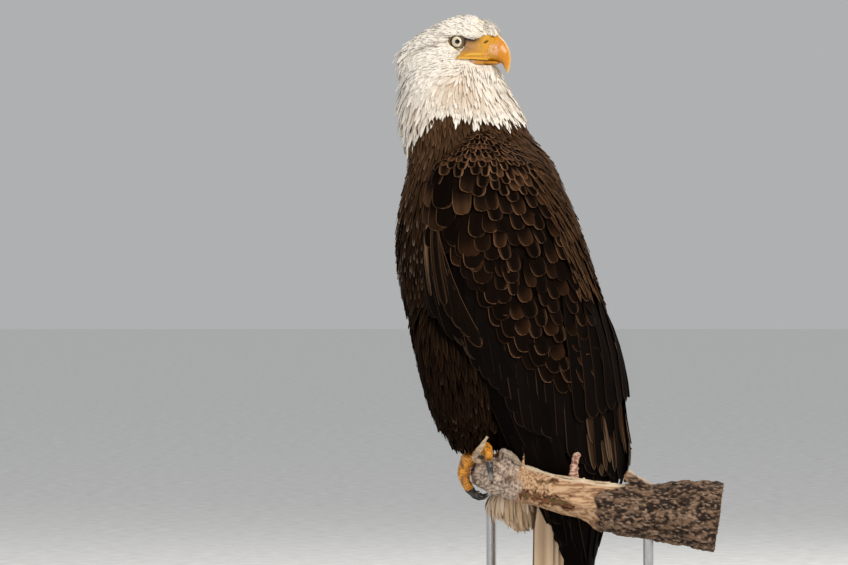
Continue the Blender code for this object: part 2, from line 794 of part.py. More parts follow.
def make_head_and_neck():
    upper = make_bill("bill_upper", BILL_UPPER, BILL_UPPER_RIDGE, BILL_UPPER_SIDES)
    lower = make_bill("bill_lower", BILL_LOWER, BILL_LOWER_RIDGE, BILL_LOWER_SIDES)
    cut_by(lower, upper)
    eyes = [make_eye("eye_right", 1), make_eye("eye_left", -1)]
    head = make_head()
    neck = make_neck()
    cut_by(neck, head, upper, lower)
    cut_by(head, upper, lower, *eyes)
    part_cere(upper)
    return neck


def make_perch():
    branch = make_branch()
    return branch, make_stand(branch)


def make_feet(branch):
    """Both feet, fitted to the branch. Returns the two tarsi and the toes with their claws."""
    tarsi = pair(make_tarsus())
    feet = []
    for leg, toes in zip(tarsi, (make_left_toes(), make_right_toes())):
        cut_by(leg, branch)
        placed = []
        for toe, claw in toes:
            cut_by(toe, branch, leg, *placed)
            cut_by(claw, branch, toe, *placed)
            placed.append(toe)
            feet += [toe, claw]
    return tarsi, feet


def main():
    clear_scene()
    neck = make_head_and_neck()
    trunk = make_trunk()
    branch, stand = make_perch()
    tarsi, feet = make_feet(branch)
    thighs = pair(make_thigh())
    for thigh, tarsus in zip(thighs, tarsi):
        cut_by(thigh, trunk, tarsus, *feet)
    tail = make_tail()
    cut_by(tail, trunk)
    undertail = make_undertail()
    cut_by(undertail, trunk, tail, branch, stand[1], *feet)
    for wing, thigh in zip(pair(make_left_wing()), thighs):
        cut_by(wing, trunk, neck, thigh, tail, undertail, branch)
        part_wing(wing)


main()
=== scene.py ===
"""Looks of the perched bald eagle: skin, feathers, bill, eyes, feet, branch and stand.

Metres, +Z up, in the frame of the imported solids. The bird's body faces -Y, its left side is
+X, and its head is turned back over the left shoulder. Feathers are laid on the hull, which
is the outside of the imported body, and the skin lies below it by the depth of the coat.
"""

import itertools
import math
import random
from types import SimpleNamespace

import bmesh
import bpy
import numpy as np
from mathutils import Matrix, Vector, noise
from mathutils.bvhtree import BVHTree


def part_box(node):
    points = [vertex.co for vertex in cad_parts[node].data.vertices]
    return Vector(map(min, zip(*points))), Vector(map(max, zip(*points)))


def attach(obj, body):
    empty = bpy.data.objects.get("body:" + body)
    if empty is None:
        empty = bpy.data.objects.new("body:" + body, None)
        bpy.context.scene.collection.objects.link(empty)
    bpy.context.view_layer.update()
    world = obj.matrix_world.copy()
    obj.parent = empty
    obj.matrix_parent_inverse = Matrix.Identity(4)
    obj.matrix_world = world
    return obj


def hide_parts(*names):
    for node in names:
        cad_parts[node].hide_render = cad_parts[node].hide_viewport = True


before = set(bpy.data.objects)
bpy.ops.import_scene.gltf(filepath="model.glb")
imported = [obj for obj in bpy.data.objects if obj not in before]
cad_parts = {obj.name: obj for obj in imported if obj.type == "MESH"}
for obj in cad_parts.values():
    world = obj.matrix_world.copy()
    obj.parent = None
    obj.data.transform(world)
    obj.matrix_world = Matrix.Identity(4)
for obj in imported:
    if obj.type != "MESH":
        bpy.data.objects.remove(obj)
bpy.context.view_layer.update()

BODY = "root"
UP = Vector((0, 0, 1))

# The head's own axes: u forward along the bill, v to the bird's right, w up.
HEAD_CENTRE = Vector((0.0, -0.105, 0.815))
HEAD_TURN = math.radians(22)
FORWARD = Vector((math.sin(HEAD_TURN), math.cos(HEAD_TURN), 0))
RIGHT = Vector((math.cos(HEAD_TURN), -math.sin(HEAD_TURN), 0))
EYE = Vector((0.0233, 0.0275, 0.0123))
EYE_RADIUS = 0.0105
IRIS_RADIUS = 0.0066
PUPIL_RADIUS = 0.0029
LID_OUT = 0.0350
EYE_RINGS, EYE_SEGMENTS, LID_SEGMENTS = 44, 72, 96

# The lower edge of the brow in the head's u and w, and the tips of the white plumage in y, z.
BROW_U = (0.000, 0.0144, 0.0236, 0.0371, 0.0444, 0.0515, 0.0560)
BROW_W = (0.0205, 0.0200, 0.0192, 0.0169, 0.0160, 0.0172, 0.0215)
BORDER_Y = (-0.170, -0.159, -0.138, -0.126, -0.116, -0.107, -0.0985, -0.0950)
BORDER_Z = (0.6740, 0.6790, 0.6960, 0.7120, 0.7240, 0.732, 0.7260, 0.7090)
BORDER_Y += (-0.088, -0.0735, -0.060, -0.044, -0.016, -0.0159, -0.0150, -0.0075)
BORDER_Z += (0.7170, 0.7050, 0.7140, 0.7085, 0.7100, 0.7133, 0.7134, 0.7160)

FLESH = ["head", "neck", "trunk", "thigh_left", "thigh_right", "undertail_coverts"]
FLESH += ["wing_left_coverts", "wing_right_coverts"]
QUILLS = ["wing_left_secondaries", "wing_left_primaries"]
QUILLS += ["wing_right_secondaries", "wing_right_primaries"]
LEFT_WING = ["wing_left_coverts", "wing_left_secondaries", "wing_left_primaries"]
HULL_VOXEL = 0.0030
HULL_SMOOTHING = 8
# Below this height feathers whose skin turns under hang free, as on trousers and undertail.
HANGING_BELOW = 0.36
SKIN_DEPTH = 0.0060
FACE_DEPTH = 0.0016
# The side of the UV patch of one small feather.
PATCH = 0.003
# The head's coat starts at the first height, and the body's brown coat ends at the second.
HEAD_COAT_BOTTOM = 0.752
BROWN_COAT_TOP = 0.745

WHITE = np.array((0.92, 0.86, 0.78))
WHITE_SHADE = np.array((0.84, 0.76, 0.66))
TAN = np.array((0.50, 0.34, 0.20))
CREAM = np.array((0.64, 0.455, 0.285))
CREAM_SHADE = np.array((0.36, 0.225, 0.125))
BROWN = np.array((0.0130, 0.0068, 0.0036))
BROWN_EDGE = np.array((0.185, 0.090, 0.040))
WING_DARK = np.array((0.0048, 0.0024, 0.0014))
WING_EDGE = np.array((0.245, 0.125, 0.064))
RUFOUS = np.array((0.034, 0.0140, 0.0060))
FLIGHT_DARK = np.array((0.0030, 0.0019, 0.0014))
FLIGHT_EDGE = np.array((0.085, 0.050, 0.031))
FAWN = np.array((0.120, 0.064, 0.032))
CERE = np.array((0.60, 0.29, 0.016))
BARE_SKIN = np.array((0.42, 0.22, 0.06))


# ---------------------------------------------------------------- small helpers


def rise(low, high, value):
    """0 below low, 1 above high, a smooth rise between; works on numbers and arrays."""
    t = np.clip((value - low) / (high - low), 0, 1)
    return t * t * (3 - 2 * t)


def fall(low, high, value):
    """1 below low, 0 above high, a smooth fall between."""
    return 1 - rise(low, high, value)


def bell(value, middle, width):
    """1 at the middle, fading to 0 about two widths away on either side."""
    return np.exp(-(((value - middle) / width) ** 2))


def mix(a, b, share):
    """Colours a and b mixed; share may be an array."""
    share = np.asarray(share, float)[..., None]
    return np.asarray(a, float) * (1 - share) + np.asarray(b, float) * share


def layered(colours, *layers):
    """The colours with each (colour, share) of the layers laid over them in turn."""
    for colour, share in layers:
        colours = mix(colours, colour, share)
    return colours


def curve(points, share):
    """A point on the smooth curve through the given points, at share 0 to 1 of the way."""
    last = len(points) - 1
    place = min(max(share, 0.0), 1.0) * last
    i = min(int(place), last - 1)
    t = place - i
    p0, p1 = points[max(i - 1, 0)], points[i]
    p2, p3 = points[i + 1], points[min(i + 2, last)]
    values = []
    for a, b, c, d in zip(p0, p1, p2, p3):
        bend = (2 * a - 5 * b + 4 * c - d) * t * t + (3 * b - a - 3 * c + d) * t**3
        values.append(0.5 * (2 * b + (c - a) * t + bend))
    return values


def strand(row_at, last=5):
    """The rows that row_at gives at even shares from 0 to 1."""
    return [row_at(k / last) for k in range(last + 1)]


def circle_ways(count, across, up):
    """(angle, direction) of even steps round a circle."""
    turns = [2 * math.pi * j / count for j in range(count)]
    return [(turn, across * math.cos(turn) + up * math.sin(turn)) for turn in turns]


def head_point(u, v, w):
    return HEAD_CENTRE + FORWARD * u + RIGHT * v + UP * w


def head_coordinates(points):
    """u, |v| and w of an array of points."""
    local = np.asarray(points, float) - np.array(HEAD_CENTRE)
    return local @ np.array(FORWARD), np.abs(local @ np.array(RIGHT)), local[..., 2]


def soft_noise(points, scale):
    return np.array([noise.noise(Vector(p * scale)) for p in points])


def fractal(points, scale, octaves=4):
    return np.array([noise.fractal(Vector(p * scale), 1.0, 2.0, octaves) for p in points])


def read_shape(mesh):
    """The points and the normals of a mesh."""
    shape = []
    for name in ("co", "normal"):
        values = np.empty(len(mesh.vertices) * 3, np.float32)
        mesh.vertices.foreach_get(name, values)
        shape.append(values.reshape(-1, 3).astype(float))
    return shape


def write_points(mesh, points):
    mesh.vertices.foreach_set("co", np.asarray(points, np.float32).ravel())
    mesh.update()


def paint(mesh, colours):
    """Writes one colour for each point of a mesh."""
    layer = mesh.attributes.new("tint", "FLOAT_COLOR", "POINT")
    values = np.ones((len(mesh.vertices), 4), np.float32)
    values[:, :3] = colours
    layer.data.foreach_set("color", values.ravel())


def edited(mesh, *edits):
    """Runs each edit on the mesh as an open bmesh."""
    work = bmesh.new()
    work.from_mesh(mesh)
    for edit in edits:
        edit(work)
    work.to_mesh(mesh)
    work.free()


def turn_outward(work):
    bmesh.ops.recalc_face_normals(work, faces=work.faces)


def weld(work):
    bmesh.ops.remove_doubles(work, verts=work.verts, dist=1e-6)


def add_piece(name, mesh, finish, slot=None, stands_for=(), sharp=0):
    piece = bpy.data.objects.new(name, mesh)
    bpy.context.scene.collection.objects.link(piece)
    mesh.materials.clear()
    mesh.materials.append(finish)
    mesh.shade_smooth()
    if sharp:
        mesh.set_sharp_from_angle(angle=math.radians(sharp))
    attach(piece, BODY)
    if stands_for:
        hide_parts(*stands_for)
    return piece


def joined(names):
    """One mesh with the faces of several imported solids."""
    work = bmesh.new()
    for name in names:
        work.from_mesh(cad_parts[name].data)
    weld(work)
    mesh = bpy.data.meshes.new("joined")
    work.to_mesh(mesh)
    work.free()
    return mesh


def remade(names, voxel, smoothing):
    """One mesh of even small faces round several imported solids, smoothed a number of times."""
    helper = bpy.data.objects.new("helper", joined(names))
    bpy.context.scene.collection.objects.link(helper)
    cells = helper.modifiers.new("cells", "REMESH")
    cells.mode = "VOXEL"
    cells.voxel_size = voxel
    even = helper.modifiers.new("even", "SMOOTH")
    even.factor = 0.5
    even.iterations = smoothing
    bpy.context.view_layer.update()
    graph = bpy.context.evaluated_depsgraph_get()
    made = bpy.data.meshes.new_from_object(helper.evaluated_get(graph))
    bpy.data.objects.remove(helper)
    return made


# ---------------------------------------------------------------- materials


def new_material(name):
    made = bpy.data.materials.new(name)
    made.use_nodes = True
    return made, made.node_tree, made.node_tree.nodes["Principled BSDF"]


def attribute_node(tree, name, output):
    node = tree.nodes.new("ShaderNodeAttribute")
    node.attribute_name = name
    return node.outputs[output]


def math_node(tree, operation, *values):
    node = tree.nodes.new("ShaderNodeMath")
    node.operation = operation
    for socket, value in zip(node.inputs, values):
        if isinstance(value, (int, float)):
            socket.default_value = value
        else:
            tree.links.new(value, socket)
    return node.outputs[0]


def noise_node(tree, scale, detail):
    """Noise in the row's own frame, in cells of about 1 / scale metres."""
    place = tree.nodes.new("ShaderNodeTexCoord")
    pattern = tree.nodes.new("ShaderNodeTexNoise")
    pattern.inputs["Scale"].default_value = scale
    pattern.inputs["Detail"].default_value = detail
    tree.links.new(place.outputs["Object"], pattern.inputs["Vector"])
    return pattern.outputs["Fac"]


def range_node(tree, value, low, high):
    node = tree.nodes.new("ShaderNodeMapRange")
    node.inputs["To Min"].default_value = low
    node.inputs["To Max"].default_value = high
    tree.links.new(value, node.inputs["Value"])
    return node.outputs["Result"]


def mottle(tree, shader, pattern, low, high):
    """The mesh's own colour, times a factor from low to high that follows a pattern."""
    node = tree.nodes.new("ShaderNodeMix")
    node.data_type = "RGBA"
    node.blend_type = "MULTIPLY"
    node.inputs["Factor"].default_value = 1.0
    tree.links.new(attribute_node(tree, "tint", "Color"), node.inputs["A"])
    tree.links.new(range_node(tree, pattern, low, high), node.inputs["B"])
    tree.links.new(node.outputs["Result"], shader.inputs["Base Color"])


def relief(tree, shader, grain, rough_low, rough_high, height, distance, strength):
    """Roughness that follows a grain, and a bump that follows a height."""
    rough = range_node(tree, grain, rough_low, rough_high)
    tree.links.new(rough, shader.inputs["Roughness"])
    bump = tree.nodes.new("ShaderNodeBump")
    bump.inputs["Distance"].default_value = distance
    bump.inputs["Strength"].default_value = strength
    tree.links.new(height, bump.inputs["Height"])
    tree.links.new(bump.outputs["Normal"], shader.inputs["Normal"])


def tinted(name, roughness, scale, variation, bump, coat=0.0, specular=0.5):
    """A finish that takes its colour from the mesh, mottled and roughened by fine noise."""
    made, tree, shader = new_material(name)
    grain = noise_node(tree, scale, 4)
    mottle(tree, shader, grain, 1 - variation, 1 + variation)
    relief(tree, shader, grain, roughness - 0.08, roughness + 0.08, grain, bump, 0.6)
    shader.inputs["Coat Weight"].default_value = coat
    shader.inputs["Coat Roughness"].default_value = 0.12
    shader.inputs["Specular IOR Level"].default_value = specular
    return made


def feather_material(name, roughness, barbs, strength, specular):
    """The finish of vanes: barbs run out and towards the tip from the shaft on both sides."""
    made, tree, shader = new_material(name)
    parts = tree.nodes.new("ShaderNodeSeparateXYZ")
    tree.links.new(attribute_node(tree, "vane", "Vector"), parts.inputs["Vector"])
    across = math_node(tree, "ABSOLUTE", parts.outputs["X"])
    slant = math_node(tree, "SUBTRACT", parts.outputs["Y"], across)
    wave = math_node(tree, "SINE", math_node(tree, "MULTIPLY", slant, barbs))
    grain = noise_node(tree, 900, 3)
    height = math_node(tree, "ADD", wave, grain)
    mottle(tree, shader, height, 0.90, 1.06)
    relief(tree, shader, grain, roughness - 0.06, roughness + 0.10, height, 0.0003, strength)
    shader.inputs["Specular IOR Level"].default_value = specular
    return made


def plain(name, colour, roughness, metallic=0.0, scale=400):
    """A finish of one colour, slightly mottled."""
    made, tree, shader = new_material(name)
    shader.inputs["Metallic"].default_value = metallic
    grain = noise_node(tree, scale, 3)
    ramp = tree.nodes.new("ShaderNodeValToRGB")
    shades = ((0.3, [0.9 * c for c in colour]), (0.7, [min(1, 1.08 * c) for c in colour]))
    for element, (place, shade) in zip(ramp.color_ramp.elements, shades):
        element.position = place
        element.color = (*shade, 1)
    tree.links.new(grain, ramp.inputs["Fac"])
    tree.links.new(ramp.outputs["Color"], shader.inputs["Base Color"])
    relief(tree, shader, grain, roughness - 0.05, roughness + 0.05, grain, 0.0001, 0.4)
    return made


# ---------------------------------------------------------------- hull and skin


class Surface:
    """A mesh with quick nearest points, smooth normals, and the solid each face belongs to."""

    def __init__(self, mesh, nodes=()):
        self.points, normals = read_shape(mesh)
        self.faces = [tuple(polygon.vertices) for polygon in mesh.polygons]
        self.tree = BVHTree.FromPolygons([Vector(p) for p in self.points], self.faces)
        self.centres = np.array([self.points[list(face)].mean(0) for face in self.faces])
        mean = unit(np.array([normals[list(face)].mean(0) for face in self.faces]))
        self.normals = [Vector(n) for n in mean]
        self.areas = np.array([polygon.area for polygon in mesh.polygons])
        self.labels = self.nearest_nodes(nodes) if nodes else None

    def nearest_nodes(self, nodes):
        points, faces, owner = [], [], []
        for name in nodes:
            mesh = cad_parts[name].data
            start = len(points)
            points += [vertex.co.copy() for vertex in mesh.vertices]
            for polygon in mesh.polygons:
                faces.append([start + i for i in polygon.vertices])
                owner.append(name)
        tree = BVHTree.FromPolygons(points, faces)
        return [owner[tree.find_nearest(Vector(c))[2]] for c in self.centres]

    def near(self, point):
        place, _, index, _ = self.tree.find_nearest(point)
        return place, self.normals[index]

    def on_left(self, y, z):
        """The point that is seen from the left at this y and height."""
        place, _, _, _ = self.tree.ray_cast(Vector((0.5, y, z)), Vector((-1, 0, 0)))
        if place is None or place.x < 0:
            place, _, _, _ = self.tree.find_nearest(Vector((0.09, y, z)))
        return place

    def round_back(self, degrees, height):
        """The point at this height, an angle round from the left to the back."""
        angle = math.radians(degrees)
        way = Vector((math.cos(angle), math.sin(angle), 0))
        place, _, _, _ = self.tree.ray_cast(Vector((0, 0, height)) + way * 0.5, -way)
        return place


def unit(vectors):
    return vectors / (np.linalg.norm(vectors, axis=-1, keepdims=True) + 1e-12)


def brow_height(u):
    """The height of the lower edge of the feathered brow, along the side of the head."""
    return np.interp(u, BROW_U, BROW_W)


def sculpt_head(mesh):
    """Pushes the brow ridge out and the hollow before and below it in."""
    points, normals = read_shape(mesh)
    u, v, w = head_coordinates(points)
    above = w - brow_height(u)
    beyond = np.maximum(np.maximum(0.008 - u, u - 0.054), 0)
    brow = 0.0042 * bell(above, 0.0042, 0.0036) * bell(beyond, 0, 0.007)
    hollow = bell(u, 0.042, 0.012) * bell(above, -0.0065, 0.0065)
    cheek = bell(u, 0.004, 0.020) * bell(w, -0.012, 0.016)
    push = rise(0.010, 0.020, v) * (brow - 0.0026 * hollow + 0.0012 * cheek)
    write_points(mesh, points + normals * push[:, None])


def hull_mesh(names):
    mesh = remade(names, HULL_VOXEL, HULL_SMOOTHING)
    sculpt_head(mesh)
    return mesh


def face_share(points):
    """1 on the face before and round the eye, 0 on the rest of the head and body."""
    u, _, w = head_coordinates(points)
    return fall(0.022, 0.042, np.sqrt((u - 0.040) ** 2 + ((w - 0.002) * 1.1) ** 2))


def bare_share(points):
    """1 on the bare skin between eye, bill and mouth corner, 0 on feathered skin."""
    u, v, w = head_coordinates(points)
    under_brow = fall(-0.0006, 0.0006, w - brow_height(u) + 0.0004)
    floor = np.interp(u, (0.022, 0.037, 0.043, 0.062), (-0.0098, -0.0108, -0.0165, -0.0175))
    over_mouth = rise(-0.0006, 0.0006, w - floor)
    behind = np.interp(w, (-0.010, 0.002, 0.0045), (0.0225, 0.0315, 0.0335))
    behind = behind + 0.0009 * np.sin(w * 2900) + 0.0006 * np.sin(w * 6100)
    before_eye = rise(-0.0006, 0.0010, u - behind)
    return under_brow * over_mouth * before_eye * rise(0.008, 0.011, v)


def border_height(y):
    """The height at which the tips of the white plumage end, ragged as on the bird."""
    return np.interp(y, BORDER_Y, BORDER_Z)


def make_skin():
    """The skin under the coat, with the coat's markings, darker as it lies in shade."""
    mesh = hull_mesh(FLESH)
    points, normals = read_shape(mesh)
    face = face_share(points)
    depth = SKIN_DEPTH * (1 - face) + FACE_DEPTH * face
    points = points - normals * depth[:, None]
    write_points(mesh, points)
    x, y, z = points.T
    colours = layered(
        BROWN * 0.35,
        (WHITE_SHADE, rise(-0.004, 0.004, z - border_height(y) - 0.003)),
        (CREAM_SHADE, fall(0.27, 0.30, z) * rise(-0.01, 0.0, 0.055 - np.abs(x))),
        (BARE_SKIN, bare_share(points)),
    )
    paint(mesh, colours)
    finish = tinted("skin_finish", 0.80, 600, 0.18, 0.0006, specular=0.04)
    add_piece("skin", mesh, finish, "white_plumage", FLESH)


# ---------------------------------------------------------------- feathers


def march(surface, start, flow, length, steps):
    """Points and normals down the lie of the coat, from start, over a length of it."""
    point, normal = surface.near(start)
    rows = [(point, normal)]
    heading = None
    for _ in range(steps):
        wish = Vector(flow(point))
        wish -= normal * wish.dot(normal)
        if wish.length > 1e-6:
            wish.normalize()
            heading = wish if heading is None else (heading * 0.4 + wish).normalized()
        if heading is None:
            break
        place, facing = surface.near(point + heading * (length / steps))
        if facing.z < -0.5 and place.z < HANGING_BELOW:
            place, facing = point + heading * (0.45 * length / steps), normal
        point, normal = place, facing
        rows.append((point, normal))
    while len(rows) <= steps:
        rows.append((rows[-1][0] + Vector((0, 0, -length / steps)), rows[-1][1]))
    return rows


def outline(start, spread, tip_start, tip_power, end_power, least):
    """A vane's half width, as a share, along it: how fast it widens, then how its tip closes."""

    def width(t):
        tip = np.clip((t - tip_start) / (1 - tip_start), 0, 1)
        end = np.power(np.clip(1 - tip**tip_power, 0, 1), end_power)
        return np.minimum(1, start + spread * t) * end + least

    return width


LANCE = outline(0.45, 1.4, 0, 2.6, 0.75, 0.02)
ROUND_TIP = outline(0.50, 1.1, 0.70, 2.6, 0.55, 0.02)
SQUARE_TIP = outline(0.60, 1.0, 0, 10, 0.42, 0.01)
BLUNT_TIP = outline(0.45, 2.0, 0.88, 2.6, 0.55, 0.02)

# Round a vane: (share of the half width, share of the thickness below the top).
SMALL_RING = [(-1, 0), (0, 0), (1, 0), (0, 1)]
WIDE_RING = [(-1, 0), (-0.90, 0), (-0.5, 0), (0, 0), (0.5, 0), (0.90, 0), (1, 0)]
WIDE_RING += [(0.6, 1), (0, 1), (-0.6, 1)]

# Kinds of feather: the places of the rows of points along it, the ring round it, its outline.
COVERT_ROWS = (0, 0.25, 0.45, 0.62, 0.75, 0.85, 0.92, 0.97, 1)
HACKLE = ((0, 0.2, 0.45, 0.7, 0.88, 1), SMALL_RING, LANCE)
BODY_FEATHER = ((0, 0.25, 0.5, 0.72, 0.88, 0.96, 1), SMALL_RING, LANCE)
SCAPULAR = (COVERT_ROWS, SMALL_RING, LANCE)
COVERT = (COVERT_ROWS, WIDE_RING, SQUARE_TIP)
FAWN_FEATHER = (COVERT_ROWS, WIDE_RING, ROUND_TIP)
FLIGHT_ROWS = (0, 0.15, 0.3, 0.45, 0.6, 0.72, 0.82, 0.88, 0.93, 0.965, 0.99, 1)
FLIGHT = (FLIGHT_ROWS, WIDE_RING, BLUNT_TIP)


class Feathers:
    """Feathers of one kind, kept as rows of points along each until they are built."""

    def __init__(self, kind, camber, thickness, seed):
        rows, ring, self.outline = kind
        self.t = np.array(rows, float)
        self.s, self.under = np.array(ring, float).T
        self.camber = camber
        self.thickness = thickness
        self.random = np.random.default_rng(seed)
        self.points, self.normals, self.widths = [], [], []
        self.lifts, self.tilts, self.kinds = [], [], []

    def add(self, rows, half_width, root_lift, tip_lift, tilt=0.0, kind=0.0):
        """rows are points and normals evenly spaced from root to tip; tilt raises one side."""
        self.points.append([tuple(p) for p, _ in rows])
        self.normals.append([tuple(n) for _, n in rows])
        self.widths.append(half_width)
        self.lifts.append((root_lift, tip_lift))
        self.tilts.append(tilt)
        self.kinds.append(kind)

    def lay(self, surface, roots, flow, size_of, dice):
        """Lays a feather at each root; size_of gives length, half width, root and tip lift."""
        for point, spacing in roots:
            size = size_of(point, spacing, dice)
            if size:
                length, half, low, high = size
                rows = march(surface, point, flow, length, 5)
                self.add(rows, half, low, high, dice.uniform(-0.2, 0.2) * half)

    def lay_from_tip(self, surface, tip, flow, length, half, low, high, tilt, kind=0.0):
        """Lays a feather from its tip back up the lie of the coat; none without a tip."""
        if tip is not None:
            rows = march(surface, tip, lambda point: -flow(point), length, 8)
            self.add(rows[::-1], half, low, high, tilt, kind)

    def resampled(self, values):
        """Values at even steps along each feather, read at this kind's own rows."""
        values = np.array(values, float)
        place = self.t * (values.shape[1] - 1)
        low = np.minimum(place.astype(int), values.shape[1] - 2)
        share = (place - low)[None, :, None]
        return values[:, low] * (1 - share) + values[:, low + 1] * share

    def build(self, colour_of, mirrored):
        """Places, colours and vane coordinates of all vertices, and the feathers' roots."""
        turn = -1 if mirrored else 1
        points = self.resampled(self.points) * (turn, 1, 1)
        normals = unit(self.resampled(self.normals)) * (turn, 1, 1)
        along = unit(np.gradient(points, axis=1))
        side = unit(np.cross(normals, along)) * turn
        normals = unit(np.cross(along, side)) * turn
        half = np.array(self.widths)[:, None, None] * self.outline(self.t)[None, :, None]
        t, s = self.t[None, :, None], self.s[None, None, :]
        low, high = np.array(self.lifts).T[:, :, None, None]
        body = self.thickness * np.minimum(1, half / (0.35 * half.max(1, keepdims=True)))
        height = low + (high - low) * t + self.camber * half * (1 - s**2)
        height = height - np.array(self.tilts)[:, None, None] * s - body * self.under
        places = points[:, :, None, :] + side[:, :, None, :] * (half * s)[..., None]
        places = places + normals[:, :, None, :] * height[..., None]
        lengths = np.linalg.norm(np.diff(points, axis=1), axis=2).sum(1)[:, None, None]
        luck = self.random.random((len(points), 3)).T[:, :, None, None]
        vane = np.zeros(places.shape)
        vane[..., 0] = half * s
        vane[..., 1] = lengths * t
        vane[..., 2] = luck[0]
        facts = SimpleNamespace(
            points=places,
            root=points[:, :1, None, :],
            y=points[:, :1, None, 1],
            z=points[:, :1, None, 2],
            s=np.broadcast_to(s, places.shape[:3]),
            t=np.broadcast_to(t, places.shape[:3]),
            edge=np.minimum(half * (1 - np.abs(s)), lengths * (1 - t)),
            luck=luck,
            kind=np.array(self.kinds)[:, None, None],
        )
        return places, colour_of(facts), vane, points[:, 0]


def unwrapped(roots):
    """Each root's place on the skin unrolled round the bird's upright axis, from 0 to 1."""
    turn = np.arctan2(roots[:, 0], -(roots[:, 1] + 0.05)) / (2 * math.pi) + 0.5
    ball = roots - np.array(HEAD_CENTRE)
    height = roots[:, 2].copy()
    top = ball[:, 2] > 0
    reach = np.linalg.norm(ball[:, :2], axis=1)
    height[top] = HEAD_CENTRE.z + 0.045 * np.arctan2(ball[top, 2], reach[top])
    flat = np.stack([turn, height], axis=1)
    low, high = flat.min(0), flat.max(0)
    return 0.01 + 0.96 * (flat - low) / (high - low + 1e-9)


def vane_faces(rows, columns):
    """Quads of one closed vane: its sides, and its two ends."""
    quads = []
    for i in range(rows - 1):
        for j in range(columns):
            a, b = i * columns + j, i * columns + (j + 1) % columns
            quads.append((a, a + columns, b + columns, b))
    last = (rows - 1) * columns
    for j in range(columns // 2 - 1):
        k = columns - 1 - j
        quads.append((j, j + 1, k - 1, k))
        quads.append((last + k, last + k - 1, last + j + 1, last + j))
    return np.array(quads)


def sorted_cells(flat, across):
    """A cell of a square grid for each root, in the order of the roots' own places."""
    order = np.argsort(flat[:, 1], kind="stable")
    cells = np.zeros((len(flat), 2))
    for row in range(across):
        group = order[row * across : (row + 1) * across]
        group = group[np.argsort(flat[group, 0], kind="stable")]
        cells[group, 0] = np.arange(len(group)) / across
        cells[group, 1] = row / across
    return cells


def mesh_of_quads(name, points, quads):
    mesh = bpy.data.meshes.new(name)
    mesh.vertices.add(len(points))
    mesh.vertices.foreach_set("co", points.astype(np.float32).ravel())
    mesh.loops.add(len(quads) * 4)
    mesh.loops.foreach_set("vertex_index", quads.astype(np.int32).ravel())
    mesh.polygons.add(len(quads))
    starts = np.arange(0, len(quads) * 4, 4, dtype=np.int32)
    mesh.polygons.foreach_set("loop_start", starts)
    mesh.update(calc_edges=True)
    return mesh


def coat_piece(name, batches, finish, slot, mirrored=False, on_grid=False, stands_for=()):
    """Builds one piece from batches of (feathers, colour function).

    Each feather's UV patch lies at its root's place, or, with on_grid, in a cell of a grid
    that keeps the order of these places, where few large feathers would overlap.
    """
    places, colours, vanes, roots, faces, shares = [], [], [], [], [], []
    start = 0
    for feathers, colour_of in batches:
        place, colour, vane, root = feathers.build(colour_of, mirrored)
        number, rows, columns = place.shape[:3]
        template = vane_faces(rows, columns)
        if mirrored:
            template = template[:, ::-1]
        offsets = start + np.arange(number)[:, None, None] * rows * columns
        faces.append((template[None] + offsets).reshape(-1, 4))
        places.append(place.reshape(-1, 3))
        colours.append(colour.reshape(-1, 3))
        vanes.append(vane.reshape(-1, 3))
        roots.append(root)
        s, t = np.meshgrid((feathers.s + 1) / 2, feathers.t)
        shares.append(np.tile(np.stack([s, t], axis=-1).reshape(1, -1, 2), (number, 1, 1)))
        start += number * rows * columns
    corners, patch = unwrapped(np.concatenate(roots)), PATCH
    if on_grid:
        across = math.ceil(math.sqrt(len(corners)))
        corners, patch = sorted_cells(corners, across), 0.92 / across
    places_on_map, done = [], 0
    for share in shares:
        own = corners[done : done + len(share)]
        places_on_map.append((own[:, None, :] + share * patch).reshape(-1, 2))
        done += len(share)
    quads = np.concatenate(faces)
    mesh = mesh_of_quads(name, np.concatenate(places), quads)
    paint(mesh, np.concatenate(colours))
    layer = mesh.attributes.new("vane", "FLOAT_VECTOR", "POINT")
    layer.data.foreach_set("vector", np.concatenate(vanes).astype(np.float32).ravel())
    bake = mesh.uv_layers.new(name="OFBake")
    corner_uv = np.concatenate(places_on_map)[quads.ravel()]
    bake.data.foreach_set("uv", corner_uv.astype(np.float32).ravel())
    add_piece(name, mesh, finish, slot, stands_for, sharp=60)


NEIGHBOURS = tuple(itertools.product((-1, 0, 1), repeat=3))


def crowded(cells, cell, point, spacing):
    """True where a kept point lies nearer than the spacing."""
    x, y, z = point
    for dx, dy, dz in NEIGHBOURS:
        for other in cells.get((cell[0] + dx, cell[1] + dy, cell[2] + dz), ()):
            gap = (other[0] - x) ** 2 + (other[1] - y) ** 2 + (other[2] - z) ** 2
            if gap < spacing * spacing:
                return True
    return False


def scatter(surface, spacing_of, seed):
    """Points spread evenly over the faces where spacing_of(centre, label) gives a spacing."""
    dice = random.Random(seed)
    candidates = []
    widest = 0.0
    for index, centre in enumerate(surface.centres):
        spacing = spacing_of(centre, surface.labels[index])
        if not spacing:
            continue
        widest = max(widest, spacing)
        wanted = surface.areas[index] / spacing**2 * 4.0
        count = int(wanted) + (dice.random() < wanted % 1)
        corners = [surface.points[i] for i in surface.faces[index]]
        for _ in range(count):
            a, b = dice.random(), dice.random()
            low = corners[0] * (1 - a) + corners[1] * a
            high = corners[-1] * (1 - a) + corners[len(corners) // 2] * a
            candidates.append((low * (1 - b) + high * b, spacing))
    dice.shuffle(candidates)
    cells, kept = {}, []
    for point, spacing in candidates:
        cell = tuple((point // widest).astype(int))
        if not crowded(cells, cell, point, spacing):
            cells.setdefault(cell, []).append(tuple(point))
            kept.append((Vector(point), spacing))
    return kept


# ---------------------------------------------------------------- the lie of the coat


